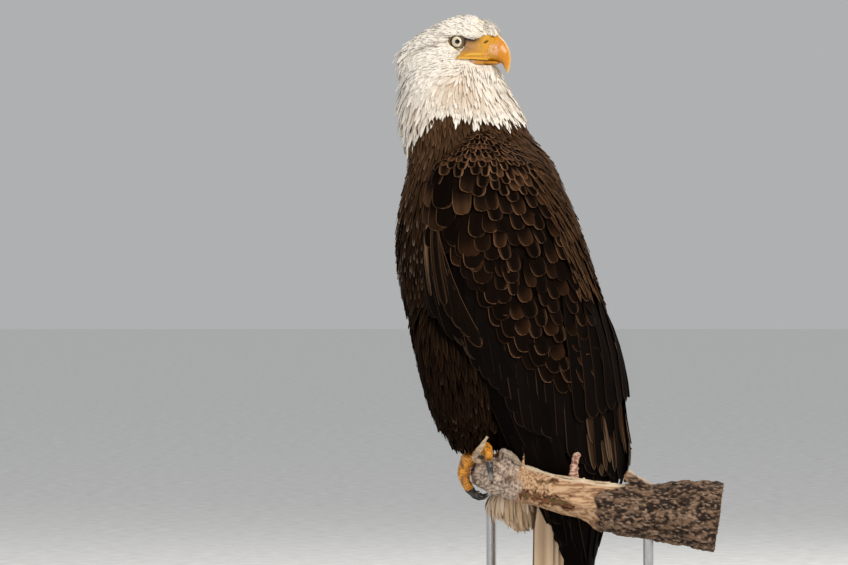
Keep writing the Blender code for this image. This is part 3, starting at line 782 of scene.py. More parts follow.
def leaning(slope):
    """The lie of feathers that run down, and back at one slope."""
    return lambda point: Vector((0, slope, -1))


body_flow = leaning(0.16)
undertail_flow = leaning(0.22)


def turned_back(degrees):
    """The way down, turned by an angle towards the back of the bird."""
    turn = math.radians(degrees)
    return Vector((0, math.sin(turn), -math.cos(turn)))


def head_flow(point):
    """Back from the bill; down on the throat, at the rear of the head and on the chin."""
    local = point - HEAD_CENTRE
    u = local.dot(FORWARD)
    side = max(-1.0, min(1.0, local.dot(RIGHT) / 0.03))
    low = fall(-0.032, 0.022, local.z)
    rear = fall(-0.060, -0.005, u)
    chin = rise(0.022, 0.044, u) * low
    down = 0.03 + 0.62 * low + 0.75 * rear * (0.4 + 0.6 * low) + 1.1 * chin
    flow = FORWARD * (-1.0 + 0.35 * rear + 0.85 * chin) - UP * down
    return flow + RIGHT * side * 0.12


def neck_flow(point):
    """Down, and away from the neck's middle line towards breast and back."""
    return Vector((0.0, 3.4 * (point.y + 0.078), -1.0))


def white_flow(point):
    """The neck's lie below, which turns into the head's lie above."""
    share = rise(0.742, 0.800, point.z)
    return neck_flow(point) * (1 - share) + head_flow(point) * share


def wing_flow(point):
    """Coverts run down, and more and more towards the back of the bird."""
    return turned_back(-4 + 24 * rise(-0.12, 0.06, point.y))


def scapular_flow(point):
    """Scapulars run down and back, more so on the shoulder."""
    return turned_back(10 + 24 * rise(0.52, 0.66, point.z))


def secondary_flow(point):
    """Down, and on the front part of the wing also towards the back."""
    return Vector((0, 0.12 + 0.18 * fall(-0.11, -0.02, point.y), -1))


def primary_flow(point):
    """Down, and on the lowest part of the wing also towards the back."""
    return Vector((0, 0.16 + 0.34 * fall(0.25, 0.33, point.z), -1))


# ---------------------------------------------------------------- colours of the coat

# Each function takes the facts that Feathers.build works out: points; root, with its y and z;
# s across the vane from -1 to 1; t along it from 0 to 1; edge, the distance to the rim; luck,
# three random numbers for each feather; and kind, which picks out some feathers of a batch.


def white_colours(f):
    """White hackles: greyer at the root as painted shade between them, tan in streaks on the
    throat and lower cheek, darker just below the brow as painted shadow.
    """
    u, v, w = head_coordinates(f.root)
    streak = rise(0.25, 0.85, f.luck[1])
    cheek = 0.40 * bell(f.z, 0.768, 0.016) * rise(-0.15, -0.11, f.y)
    throat = 0.85 * bell(u, 0.034, 0.022) * bell(w, -0.040, 0.018)
    nape = 0.6 * bell(f.y, -0.146, 0.014) * bell(f.z, 0.745, 0.022)
    tan = np.clip((cheek + throat + nape) * (0.35 + 0.65 * streak), 0, 0.8)
    forehead = rise(0.044, 0.056, u) * rise(0.016, 0.028, w)
    behind_eye = bell(w - 0.22 * (u - 0.012), 0.0125, 0.0026) * fall(0.006, 0.016, u)
    behind_eye = behind_eye * rise(-0.046, -0.006, u) * rise(0.02, 0.03, v)
    stipple = bell(u, 0.0300, 0.0060) * bell(w, -0.0015, 0.0055)
    # under_brow: a painted shadow of the brow on the hackles just below its edge.
    under_brow = bell(w - brow_height(u), 0.0004, 0.0016) * rise(0.008, 0.016, u)
    under_brow = under_brow * rise(0.018, 0.024, v) * (1 - f.t * 0.5)
    colours = layered(
        # Greyer towards the root: painted shade between the hackles.
        mix(WHITE_SHADE, WHITE, rise(0.0, 0.7, f.t)),
        (TAN, tan * (1 - 0.35 * f.t)),
        ((0.84, 0.74, 0.40), forehead * 0.28 * streak),
        ((0.26, 0.19, 0.14), behind_eye * 0.65),
        ((0.42, 0.33, 0.16), stipple * 0.75),
        ((0.20, 0.12, 0.07), under_brow * 0.8),
    )
    return colours * (0.93 + 0.10 * f.luck[2])[..., None]


def tuft_colours(f):
    """The forehead tufts: yellowish by the cere, greyer at the root as painted shade among them,
    but for kind 1.
    """
    _, _, w = head_coordinates(f.points)
    colours = layered(
        # Greyer at the root: painted shade among the tufts.
        (0.66, 0.58, 0.46),
        ((0.95, 0.89, 0.82), rise(0.1, 0.95, np.maximum(f.t, f.kind))),
        ((0.88, 0.72, 0.36), 0.40 * fall(0.021, 0.031, w) * rise(0.2, 0.9, f.luck[1])),
    )
    return colours * (0.90 + 0.12 * f.luck[2])[..., None]


def brown_colours(f):
    """Brown body feathers with a paler edge and, on the breast, pale pointed tips."""
    high = rise(0.56, 0.70, f.z)
    back = rise(-0.06, 0.04, f.y)
    front = fall(-0.15, -0.09, f.y)
    bright = np.clip(high * (0.35 + 0.65 * f.luck[0]) * (1 + 0.7 * front), 0, 1.6)
    base = layered(
        BROWN,
        (BROWN * 5.0, bright),
        (BROWN * 0.35, (1 - high) * (1 - back) * 0.8),
        (FAWN, 0.55 * rise(0.60, 1.0, f.luck[1]) * (0.7 * high + 0.5 * back)),
    )
    glow = (0.20 + 0.45 * f.luck[2]) * (0.35 + 0.45 * high + 0.35 * back)
    fringe = np.clip(fall(0.0003, 0.0018, f.edge) * glow, 0, 1)
    pale = np.clip(0.9 * bell(f.z, 0.60, 0.07) * front + 0.30 * high * front, 0, 1)
    pale = pale * rise(0.25, 0.8, f.luck[1]) * rise(0.80, 0.99, f.t)
    trousers = fall(0.36, 0.47, f.z) * rise(0.78, 0.98, f.luck[1])
    colours = layered(
        base,
        (BROWN_EDGE, fringe * rise(0.2, 0.6, f.t)),
        ((0.34, 0.24, 0.165), pale * 0.85),
        ((0.16, 0.10, 0.065), trousers * rise(0.82, 1.0, f.t) * 0.8),
        (base * 0.55, bell(f.s, 0, 0.16) * 0.35),
    )
    return colours * (1 - 0.45 * fall(0.40, 0.50, f.z))[..., None]


def covert_colours(f):
    """Near black coverts with thin tan edges, brighter flecks on the shoulder."""
    rufous = rise(0.80, 0.97, f.luck[1]) * rise(0.45, 0.95, f.t + 0.15 * f.s)
    base = mix(WING_DARK * 0.7, WING_DARK * 1.5, f.luck[0] * 0.6)
    base = mix(base, RUFOUS, 0.75 * rufous)
    shoulder = rise(0.62, 0.68, f.z)
    aside = 1 + 0.45 * np.tanh(4 * f.s * np.where(f.luck[0] > 0.35, -1.0, 1.0))
    amount = 0.34 + 0.40 * shoulder + 0.60 * (f.luck[2] - 0.5)
    fringe = fall(0.0002, 0.0012, f.edge) * amount * rise(0.35, 0.70, f.t) * aside
    flecks = shoulder * rise(0.55, 0.9, f.luck[0]) * rise(0.5, 0.9, f.t)
    return layered(
        base,
        (WING_EDGE, np.clip(fringe, 0, 1)),
        ((0.140, 0.066, 0.032), flecks * 0.6),
        (base * 0.6, bell(f.s, 0, 0.12) * 0.4),
    )


def flight_colours(f):
    """Black quills with a thin brown edge and a darker shaft."""
    base = mix(FLIGHT_DARK, FLIGHT_DARK * 2.4, f.luck[0] * 0.6)
    fringe = fall(0.0002, 0.0010, f.edge) * (0.10 + 0.6 * f.luck[2])
    colours = mix(base, FLIGHT_EDGE, fringe * rise(0.2, 0.5, f.t))
    return mix(colours, base * 0.5, bell(f.s, 0, 0.07) * 0.5)


def alula_colours(f):
    """Black blades with a thin pale edge; the foremost (kind 1) is pale along its front."""
    base = mix(FLIGHT_DARK, BROWN, 0.35 * f.luck[0])
    fringe = fall(0.0002, 0.0009, f.edge) * (0.15 + 0.50 * f.luck[2])
    strip = 0.55 + 0.45 * np.sin(9 * f.s + 3 * f.t)
    strip = np.clip(f.kind * strip * (1 - 0.75 * rise(0.45, 1.0, f.t)), 0, 1)
    return layered(base, (WING_EDGE, fringe), ((0.31, 0.175, 0.100), strip * 0.9))


def tertial_colours(f):
    """Black feathers, of which only the hindmost (kind 1) have a golden edge: a painted rim
    highlight along the back's outline.
    """
    base = mix(FLIGHT_DARK, FLIGHT_DARK * 1.8, f.luck[0] * 0.6)
    # 0.60 * kind paints a rim highlight on the edges of the hindmost feathers.
    amount = 0.05 + 0.15 * f.luck[2] + 0.60 * f.kind
    fringe = fall(0.0002, 0.0013, f.edge) * amount
    return mix(base, WING_EDGE, fringe * rise(0.05, 0.3, f.t))


def scapular_colours(f):
    """Streaky brown scapulars, with a painted rim highlight, in paler fawn, along the outer edge
    of the back.
    """
    # Painted highlight along the back's outline, where it catches the light.
    rim = rise(0.050, 0.085, f.y + 0.32 * (f.z - 0.60))
    base = mix(BROWN, BROWN * 2.4, f.luck[0])
    base = mix(base, FAWN, (0.18 + 0.30 * rim) * rise(0.3, 1.0, f.luck[1]))
    fringe = fall(0.0003, 0.0020, f.edge) * (0.25 + 0.5 * f.luck[2])
    colours = mix(base, BROWN_EDGE, fringe * rise(0.1, 0.5, f.t))
    return mix(colours, base * 0.5, bell(f.s, 0, 0.2) * 0.4)


def fawn_colours(f):
    """Faded brown, with a pale streak and ragged pale edges."""
    streak = bell(f.s, 0.7 - 0.8 * f.luck[2], 0.28) * rise(0.55, 0.95, f.luck[1])
    fringe = fall(0.0003, 0.0014, f.edge) * 0.55 * f.luck[1]
    return layered(
        BROWN * 0.7,
        (FAWN, 0.34 * f.luck[0]),
        ((0.22, 0.132, 0.075), 0.80 * streak * rise(0.1, 0.5, f.t)),
        ((0.33, 0.235, 0.155), fringe * rise(0.4, 0.8, f.t)),
    )


def cream_colours(f):
    """Undertail coverts: cream, darker at the root as painted shade, some paler than others, most
    with a darker shaft.
    """
    return layered(
        # Darker at the root: painted shade between the coverts.
        CREAM_SHADE,
        (CREAM, rise(-0.4, 0.35, f.t)),
        (WHITE, 0.40 * rise(0.3, 1.0, f.luck[1])),
        (CREAM_SHADE, 0.45 * bell(f.s, 0, 0.25) * rise(0.4, 1.0, f.luck[0])),
    )


def tail_colours(f):
    """Tail feathers: cream, mottled with brown in waves, clean at the tip."""
    wave = np.sin(f.s * 9 + f.luck[0] * 6 + f.t * 3) * 0.5 + 0.5
    fine = np.sin(f.s * 31 + f.luck[2] * 9) * 0.5 + 0.5
    return layered(
        CREAM,
        (WHITE, 0.05 + 0.20 * f.luck[1]),
        ((0.30, 0.170, 0.080), 0.45 * wave * fall(0.80, 1.0, f.t)),
        (CREAM_SHADE, 0.30 * fine),
        (CREAM_SHADE, 0.5 * bell(f.s, 0, 0.06)),
    )


# ---------------------------------------------------------------- the body's coat


# Round the eye no feather grows: the height of this patch's middle, and its half sizes.
EYE_PATCH_W, EYE_PATCH_REACH, EYE_PATCH_HEIGHT = 0.0105, 0.0106, 0.0096
# No feather grows nearer than this to the bill and the cere.
BILL_CLEARANCE = 0.0012


def blocked_face(point, hard_parts):
    """True where no feather grows: at the eye, on the bare skin, and against the bill."""
    u, v, w = head_coordinates(point)
    ahead, above = (u - EYE.x) / EYE_PATCH_REACH, (w - EYE_PATCH_W) / EYE_PATCH_HEIGHT
    if v > 0.012 and math.hypot(ahead, above) < 1:
        return True
    if bare_share(point) > 0.45:
        return True
    return hard_parts.tree.find_nearest(point)[3] < BILL_CLEARANCE


def make_head_coat(hull, finish):
    """Hackles of head and cheek, short on the face, in two pieces of half the roots each."""
    hard_parts = Surface(joined(["bill_upper", "bill_lower", "cere"]))
    dice = random.Random(11)

    def spacing(centre, label):
        if label not in ("head", "neck") or centre[2] < HEAD_COAT_BOTTOM:
            return 0
        return 0.0030 - 0.0011 * face_share(centre)

    def size(point, spacing, dice):
        if blocked_face(point, hard_parts):
            return None
        near, crown = face_share(point), rise(0.775, 0.80, point.z)
        u, _, w = head_coordinates(point)
        length = (0.027 - 0.009 * crown) * (1 - near) + 0.0064 * near
        half = (0.0033 - 0.0004 * crown) * (1 - near) + 0.0014 * near
        low = -0.0032 * (1 - near) - 0.0012 * near
        tip = 0.0002 + dice.uniform(0, 0.0004)
        if u < -0.042 and dice.random() < 0.36:
            tip += dice.uniform(0.0020, 0.0075)
        throat = rise(0.030, 0.046, u) * fall(-0.022, -0.014, w)
        tip += throat * dice.uniform(0.0008, 0.0040)
        length += 0.006 * throat
        return length * dice.uniform(0.85, 1.2), half, low, tip

    roots = scatter(hull, spacing, 21)
    middle = len(roots) // 2
    for name, chosen in (("a", roots[:middle]), ("b", roots[middle:])):
        feathers = Feathers(HACKLE, 0.06, 0.0003, 31)
        feathers.lay(hull, chosen, white_flow, size, dice)
        batches = [(feathers, white_colours)]
        coat_piece(f"head_feathers_{name}", batches, finish, "white_plumage")


# The ball of tufts over the cere: its middle in u and w, and its radii along u, v and w.
BALL_U, BALL_W = 0.0525, 0.0208
BALL_REACH, BALL_WIDTH, BALL_HEIGHT = 0.0150, 0.0142, 0.0172
# The rim where the ball meets the crown: its u, and its radii along v and w.
RIM_U, RIM_WIDTH, RIM_HEIGHT = 0.0505, 0.0128, 0.0165
CHIN_W = -0.0182
BALL_TUFTS, RIM_FEATHERS, CHIN_FEATHERS, VENT_FEATHERS = 560, 420, 260, 150


def add_ball_tuft(tufts, dice):
    """A short tuft combed forward round the ball, from above and behind to its tip."""
    across = math.radians(dice.uniform(-80, 80))
    tip = math.radians(dice.uniform(-9, 112))
    spiky = 0.30 if tip > math.radians(62) else 0.06
    grow = dice.uniform(0.96, 1.10) + (0.19 if dice.random() < spiky else 0)

    def row_at(share):
        turn = tip + math.radians(58) * (1 - share)
        size = 0.72 + (grow - 0.72) * share
        ahead = math.cos(across) ** 0.6 * math.cos(turn)
        beside = math.sin(across)
        above = math.cos(across) * math.sin(turn)
        u = BALL_U + BALL_REACH * ahead * size
        w = BALL_W + BALL_HEIGHT * above * size
        out = FORWARD * (ahead / BALL_REACH) + RIGHT * (beside / BALL_WIDTH)
        out += UP * (above / BALL_HEIGHT)
        return head_point(u, BALL_WIDTH * beside * size, w), out.normalized()

    tufts.add(strand(row_at), dice.uniform(0.0011, 0.0018), 0.0, dice.uniform(0, 0.0012))


def add_rim_feather(tufts, hull, dice):
    """A feather (kind 1) from the ball's rim back onto the crown, which fills the gap."""
    around = math.radians(dice.uniform(-88, 88))
    aside, above = math.sin(around), math.cos(around)
    start = head_point(RIM_U, RIM_WIDTH * aside, BALL_W + RIM_HEIGHT * above)
    way = (RIGHT * (0.45 * aside) + UP * (0.40 * above) - FORWARD).normalized()
    length = dice.uniform(0.016, 0.028)

    def row_at(share):
        free = start + way * (length * share)
        place, normal = hull.near(free)
        hold = rise(0.35, 1.0, share)
        out = (UP * above + RIGHT * aside) * (1 - hold) + normal * hold
        return free.lerp(place + normal * 0.0010, hold), out.normalized()

    half = dice.uniform(0.0014, 0.0021)
    tufts.add(strand(row_at), half, -0.0004, dice.uniform(0, 0.0006), kind=1.0)


def add_chin_feather(chin, dice):
    """A feather that hangs below the lower bill, turned to one side or the other."""
    root_u, root_v = dice.uniform(0.036, 0.0605), dice.uniform(-0.0125, 0.0125)
    drop = dice.uniform(0.014, 0.026)
    side = root_v / 0.0095 + dice.choice((-0.6, 0.6))
    out = (FORWARD * 0.6 + RIGHT * side).normalized()

    def row_at(share):
        u = root_u + 0.0080 * math.sin(1.7 * share)
        return head_point(u, root_v * (1 + 0.75 * share), CHIN_W - drop * share), out

    chin.add(strand(row_at), dice.uniform(0.0015, 0.0023), 0.0, dice.uniform(0, 0.0010))


def make_face_tufts(hull, finish):
    """The tufts that bulge over the top of the cere, and the feathers below the chin."""
    dice = random.Random(19)
    tufts = Feathers(HACKLE, 0.15, 0.0004, 43)
    chin = Feathers(HACKLE, 0.10, 0.0003, 48)
    for _ in range(BALL_TUFTS):
        add_ball_tuft(tufts, dice)
    for _ in range(RIM_FEATHERS):
        add_rim_feather(tufts, hull, dice)
    for _ in range(CHIN_FEATHERS):
        add_chin_feather(chin, dice)
    batches = [(tufts, tuft_colours), (chin, white_colours)]
    coat_piece("face_tufts", batches, finish, "white_plumage")


def make_neck_coat(hull, finish):
    """White hackles that end above the white plumage's ragged border."""

    def spacing(centre, label):
        return 0.0038 if 0.700 < centre[2] < 0.775 else 0

    def size(point, spacing, dice):
        ragged = dice.uniform(-0.004, 0.006)
        length = dice.uniform(0.026, 0.037)
        if point.z - 0.95 * length <= border_height(point.y) + ragged:
            return None
        lift = 0.0006 + dice.uniform(0, 0.0012)
        if point.y < -0.132 and dice.random() < 0.30:
            lift += dice.uniform(0.002, 0.006)
        return length, dice.uniform(0.0026, 0.0042), -0.0038, lift

    feathers = Feathers(HACKLE, 0.07, 0.0003, 32)
    feathers.lay(hull, scatter(hull, spacing, 22), neck_flow, size, random.Random(12))
    coat_piece("neck_hackles", [(feathers, white_colours)], finish, "white_plumage")


# The brown pieces of the body: the solids they grow on, the y from and to, the spacing.
BODY_GROUPS = (
    ("breast_feathers", ("trunk", "neck"), -0.5, -0.02, 0.0064),
    ("mantle_feathers", ("trunk", "neck"), -0.02, 0.5, 0.0070),
    ("trouser_feathers", ("thigh_left", "thigh_right"), -0.5, 0.5, 0.0066),
)


def make_body_coat(hull, finish):
    """The brown feathers of breast, mantle and trousers, one piece each."""
    dice = random.Random(13)

    def size(point, spacing, dice):
        length = spacing * dice.uniform(4.6, 6.0)
        half = spacing * dice.uniform(0.50, 0.72)
        return length, half, -0.0046, dice.uniform(0.0, 0.0014)

    for order, (name, nodes, front, back, gap) in enumerate(BODY_GROUPS):

        def spacing(centre, label):
            if label not in nodes or not front <= centre[1] < back:
                return 0
            if centre[2] > BROWN_COAT_TOP:
                return 0
            return gap * (0.74 if centre[2] > 0.66 else 1.0)

        feathers = Feathers(BODY_FEATHER, 0.14, 0.0004, 40 + order)
        feathers.lay(hull, scatter(hull, spacing, 50 + order), body_flow, size, dice)
        batches = [(feathers, brown_colours)]
        if name == "trouser_feathers":
            batches.append((make_vent_feathers(), brown_colours))
        coat_piece(name, batches, finish, "brown_plumage")


def make_vent_feathers():
    """Dark feathers that hang between the trousers, above the perch."""
    dice = random.Random(27)
    feathers = Feathers(BODY_FEATHER, 0.14, 0.0004, 47)
    for _ in range(VENT_FEATHERS):
        side = dice.choice((-1, 1))
        x, y = side * dice.uniform(0.0, 0.045), dice.uniform(-0.062, -0.016)
        start = Vector((x, y, dice.uniform(0.330, 0.345)))
        fall_line = Vector((0, 0.10, -1)) * dice.uniform(0.030, 0.046)
        out = Vector((side, -0.3, 0)).normalized()
        rows = strand(lambda share: (start + fall_line * share, out))
        feathers.add(rows, dice.uniform(0.0028, 0.0042), 0.0, 0.0)
    return feathers


# The lower line of the undertail coverts, seen from the side.
UNDERTAIL_LINE_Y = (-0.060, -0.045, -0.022, 0.004)
UNDERTAIL_LINE_Z = (0.2230, 0.2010, 0.1870, 0.1890)


def make_undertail_coat(hull, finish):
    """Cream undertail coverts, whose pointed tips end along a ragged lower line."""
    dice = random.Random(14)
    feathers = Feathers(BODY_FEATHER, 0.20, 0.0006, 33)

    def spacing(centre, label):
        return 0.0046 if label == "undertail_coverts" else 0

    for point, _ in scatter(hull, spacing, 23):
        floor = np.interp(point.y, UNDERTAIL_LINE_Y, UNDERTAIL_LINE_Z)
        drop = point.z - floor - dice.uniform(0.0, 0.018)
        length = min(dice.uniform(0.034, 0.060), drop)
        if length < 0.016:
            continue
        _, normal = hull.near(point)
        way = undertail_flow(point)
        tangent = (way - normal * way.dot(normal)).normalized()
        rows = [(point, normal)]
        for k in range(5):
            heading = (tangent * (4 - k) + way * (k + 1)).normalized()
            rows.append((rows[-1][0] + heading * (length / 5), normal))
        feathers.add(rows, dice.uniform(0.0028, 0.0052), -0.0040, dice.uniform(0.0, 0.0018))
    coat_piece("undertail_feathers", [(feathers, cream_colours)], finish, "cream_plumage")


# ---------------------------------------------------------------- wings

# The tips of the greater coverts, of the secondaries, of the primaries and of the alula, and
# the alula's root, as (y, z) seen from the side.
GREATER_TIPS = [(-0.1274, 0.5605), (-0.1040, 0.5475), (-0.0819, 0.5254), (-0.0676, 0.5020)]
GREATER_TIPS += [(-0.0481, 0.4695), (-0.0338, 0.4409), (-0.0117, 0.4175), (0.0143, 0.3928)]
GREATER_TIPS += [(0.0416, 0.3772), (0.0650, 0.3694), (0.0871, 0.3811), (0.1050, 0.3850)]
SECONDARY_TIPS = [(-0.115, 0.470), (-0.078, 0.424), (-0.0611, 0.4032), (-0.0429, 0.3837)]
SECONDARY_TIPS += [(-0.0273, 0.3681), (-0.0156, 0.3473), (-0.0039, 0.3278), (0.0104, 0.3213)]
SECONDARY_TIPS += [(0.0273, 0.3161), (0.0390, 0.3044), (0.0507, 0.2953), (0.0715, 0.2810)]
SECONDARY_TIPS += [(0.1100, 0.2700), (0.1300, 0.2660)]
PRIMARY_TIPS = [(-0.020, 0.285), (-0.004, 0.258), (0.012, 0.232), (0.026, 0.204)]
PRIMARY_TIPS += [(0.038, 0.176), (0.049, 0.148), (0.060, 0.118), (0.069, 0.098)]
ALULA_ROOT = (-0.1245, 0.612)
ALULA_TIPS = [(-0.1092, 0.4864), (-0.1014, 0.4708), (-0.0900, 0.4570), (-0.0780, 0.4460)]
ALULA_TIPS += [(-0.065, 0.4331)]

# The coverts of the lower greater row, and the secondaries seen from the left: the y of the
# first one's tip and the step to the next.
GREATER_COVERTS = 16
SECONDARIES, FIRST_SECONDARY_Y, SECONDARY_STEP = 21, -0.126, 0.0110

# The front edge of the longest primary: where it leaves the branch and where it ends.
LEADING_EDGE = ((-0.0050, 0.2566), (0.0640, 0.1130))

# The feathers folded round the wing's front edge, which lies at this y: path as (y, z), the
# way they face and how pale they are.
WING_FRONT = -0.1315
PALE_PATH = [(-0.1255, 0.6200), (-0.1330, 0.5960), (-0.1362, 0.5634), (-0.1347, 0.5375)]
PALE_PATH += [(-0.1290, 0.4980)]
DARK_PATH = [(-0.1190, 0.6120), (-0.1250, 0.5950), (-0.1275, 0.5700), (-0.1240, 0.5300)]
DARK_PATH += [(-0.1150, 0.4800)]
FRONT_STRIPS = ((PALE_PATH, (1, -0.7, 0), 1.0), (DARK_PATH, (1, -0.3, 0), 0.18))


def covert_gap(y, z):
    """The space between neighbouring covert tips: least on the shoulder, most at the wrist."""
    return 0.0056 + fall(0.585, 0.695, z) * (0.0088 + 0.0085 * fall(-0.095, -0.045, y))


def make_small_coverts(hull):
    """The lesser and median coverts of the left wing."""
    dice = random.Random(15)

    def spacing(centre, label):
        x, y, z = centre
        if label != "wing_left_coverts" or x < 0.01 or y > 0.012 + (0.700 - z) * 0.30:
            return 0
        if z < np.interp(y, *zip(*GREATER_TIPS)) + 0.014:
            return 0
        return covert_gap(y, z)

    feathers = Feathers(COVERT, 0.10, 0.0005, 34)
    for tip, gap in scatter(hull, spacing, 24):
        shoulder = rise(0.62, 0.68, tip.z)
        half = gap * dice.uniform(0.56, 0.74)
        length = gap * (2.6 + 0.7 * shoulder + dice.uniform(-0.3, 0.3))
        lift = (0.0004 + dice.uniform(0, 0.0008)) * (1 - 0.6 * shoulder)
        turn = math.radians(dice.uniform(-9, 9))

        def flow(point):
            way = wing_flow(point)
            return Vector((0, way.y - turn * way.z, way.z))

        tilt = 0.0009 * (1 - shoulder)
        feathers.lay_from_tip(hull, tip, flow, length, half, -0.0048, lift, tilt)
    return feathers


def make_greater_coverts(hull):
    """Two rows of large coverts, the upper one half a feather along from the lower."""
    dice = random.Random(16)
    feathers = Feathers(COVERT, 0.10, 0.0006, 35)
    for row, (shift, extra) in enumerate(((0.0, 0.0), (0.5, 0.019))):
        for i in range(GREATER_COVERTS - row):
            share = (i + shift) / (GREATER_COVERTS - 1)
            y, z = curve(GREATER_TIPS, share)
            z += extra * (1.15 - 0.35 * share) + dice.uniform(-0.003, 0.003)
            tip = hull.on_left(y + dice.uniform(-0.0015, 0.0015), z)
            half = (0.0150 - 0.0050 * share) * dice.uniform(0.9, 1.1)
            lift = 0.0004 + 0.0010 * row
            feathers.lay_from_tip(hull, tip, wing_flow, 0.060, half, -0.0055, lift, 0.0016)
    return feathers


def make_alula(wing):
    """The narrow feathers of the wrist that run down and back from the wing's front edge."""
    feathers = Feathers(FLIGHT, 0.12, 0.0010, 46)
    root_y, root_z = ALULA_ROOT
    for i, (y, z) in enumerate(ALULA_TIPS):

        def flow(point):
            share = max(0.0, min(1.0, (root_z - point.z) / (root_z - z)))
            slope = (y - root_y) / (root_z - z)
            return Vector((0, slope * (0.25 + 1.5 * share), -1))

        length, half = (root_z - z) * 0.98, 0.0056 + 0.0008 * i
        lift = 0.0034 - 0.0006 * i
        feathers.lay_from_tip(wing, wing.on_left(y, z), flow, length, half, 0.0006, lift, 0.0004)
    for path, facing, paleness in FRONT_STRIPS:

        def row_at(share):
            y, z = curve(path, share)
            place = wing.on_left(max(y, WING_FRONT), z)
            x = place.x + 0.0015 - 1.3 * max(0.0, WING_FRONT - y)
            return Vector((x, y, z)), Vector(facing).normalized()

        feathers.add(strand(row_at, 8), 0.0034, -0.0020, 0.0, 0.0, paleness)
    return feathers


def make_secondaries(wing):
    """Flight feathers whose tips end at the lower line, from the wrist round to the back."""
    dice = random.Random(17)
    feathers = Feathers(FLIGHT, 0.10, 0.0011, 36)
    for i in range(SECONDARIES):
        y = FIRST_SECONDARY_Y + SECONDARY_STEP * i
        tip = wing.on_left(y, float(np.interp(y, *zip(*SECONDARY_TIPS))))
        length = 0.140 + dice.uniform(-0.004, 0.004)
        feathers.lay_from_tip(wing, tip, secondary_flow, length, 0.0145, -0.0045, 0.0, 0.0016)
    for i in range(5):
        tip = wing.round_back(52 + 7.5 * i, 0.268 - 0.003 * i)
        feathers.lay_from_tip(wing, tip, body_flow, 0.135, 0.0145, -0.0045, 0.0, 0.0014)
    return feathers


def make_primaries(wing):
    """Flight feathers of the wing's point: short and inner ones first, then the longest."""
    feathers = Feathers(FLIGHT, 0.10, 0.0013, 37)
    for i in range(8):
        y = -0.014 + 0.0125 * i
        tip = wing.on_left(y, 0.250 if y < 0.015 else 0.226)
        feathers.lay_from_tip(wing, tip, body_flow, 0.135, 0.0115, -0.0060, -0.0010, 0.0010)
    for i, slope in enumerate((0.40, 0.34, 0.28, 0.22, 0.17)):
        tip = wing.on_left(0.0760 + 0.0035 * i, 0.104 + 0.006 * i)
        feathers.lay_from_tip(wing, tip, leaning(slope), 0.180, 0.0115, -0.0055, 0.0, 0.0012)
    for i, (y, z) in enumerate(PRIMARY_TIPS):
        tip, length = wing.on_left(y + 0.012, z), 0.17 + 0.008 * i
        feathers.lay_from_tip(wing, tip, primary_flow, length, 0.0105, -0.0055, 0.0, 0.0013)
    for i in range(6):
        tip = wing.round_back(56 + 6 * i, 0.108 + 0.016 * i)
        feathers.lay_from_tip(wing, tip, body_flow, 0.19, 0.0120, -0.0055, 0.0, 0.0012)
    for order, tip_drop in enumerate((0.0, 0.006, 0.012, 0.010, 0.005)):
        add_leading_primary(feathers, wing, order, tip_drop)
    return feathers


def add_leading_primary(feathers, wing, order, tip_drop):
    """One of the longest primaries: it passes outside the tail and curves in below."""
    behind = 0.0116 + 0.0090 * order
    middle, bottom = (wing.on_left(y + behind, z) for y, z in LEADING_EDGE)
    bottom.z -= tip_drop
    top = middle + (middle - bottom) * 0.45

    def row_at(share):
        place = top.lerp(bottom, share)
        outside = side_vane_width(place.z) + 0.0040 - 0.0045 * order
        place.x = max(place.x, outside) - 0.35 * max(0.0, 0.150 - place.z)
        return place, Vector((1, -0.30, 0)).normalized()

    feathers.add(strand(row_at, 8), 0.0105, 0.0, 0.0, 0.0008)


def make_scapulars(hull):
    """Long streaky shoulder feathers that lie over the wing's inner and back parts."""
    dice = random.Random(18)
    feathers = Feathers(SCAPULAR, 0.16, 0.0006, 38)

    def spacing(centre, label):
        x, y, z = centre
        if "wing_left" not in label or x < 0.003 or z < 0.400:
            return 0
        if y < -0.004 + (0.700 - z) * 0.32 or (y > 0.052 and z < 0.485):
            return 0
        return 0.0078

    for tip, _ in scatter(hull, spacing, 25):
        length, half = dice.uniform(0.042, 0.066), dice.uniform(0.0042, 0.0062)
        lift = dice.uniform(0.0010, 0.0036)
        feathers.lay_from_tip(hull, tip, scapular_flow, length, half, -0.0045, lift, 0.0006)
    return feathers


def make_tertials(hull):
    """Black inner flight feathers at the wing's back edge."""
    feathers = Feathers(FLIGHT, 0.14, 0.0010, 44)
    for i in range(8):
        tip, half = hull.round_back(40 + 7 * i, 0.336 + 0.005 * i), 0.0120 - 0.0005 * i
        # Kind 1 marks the two hindmost, whose edges get a painted rim highlight.
        lift, kind = 0.0026 + 0.0004 * i, float(i > 5)
        feathers.lay_from_tip(hull, tip, body_flow, 0.170, half, -0.0035, lift, 0.0012, kind)
    return feathers


def make_fawn_feathers(hull):
    """Faded brown feathers below the black ones, with ragged pale edges."""
    dice = random.Random(20)
    feathers = Feathers(FAWN_FEATHER, 0.14, 0.0007, 45)
    for i in range(20):
        tip = hull.round_back(48 + 2.6 * i, 0.268 + dice.uniform(-0.008, 0.045))
        if tip is not None:
            half, lift = dice.uniform(0.0034, 0.0062), dice.uniform(0.0008, 0.0030)
            length = dice.uniform(0.070, 0.100)
            feathers.lay_from_tip(hull, tip, body_flow, length, half, -0.0035, lift, 0.0008)
    return feathers


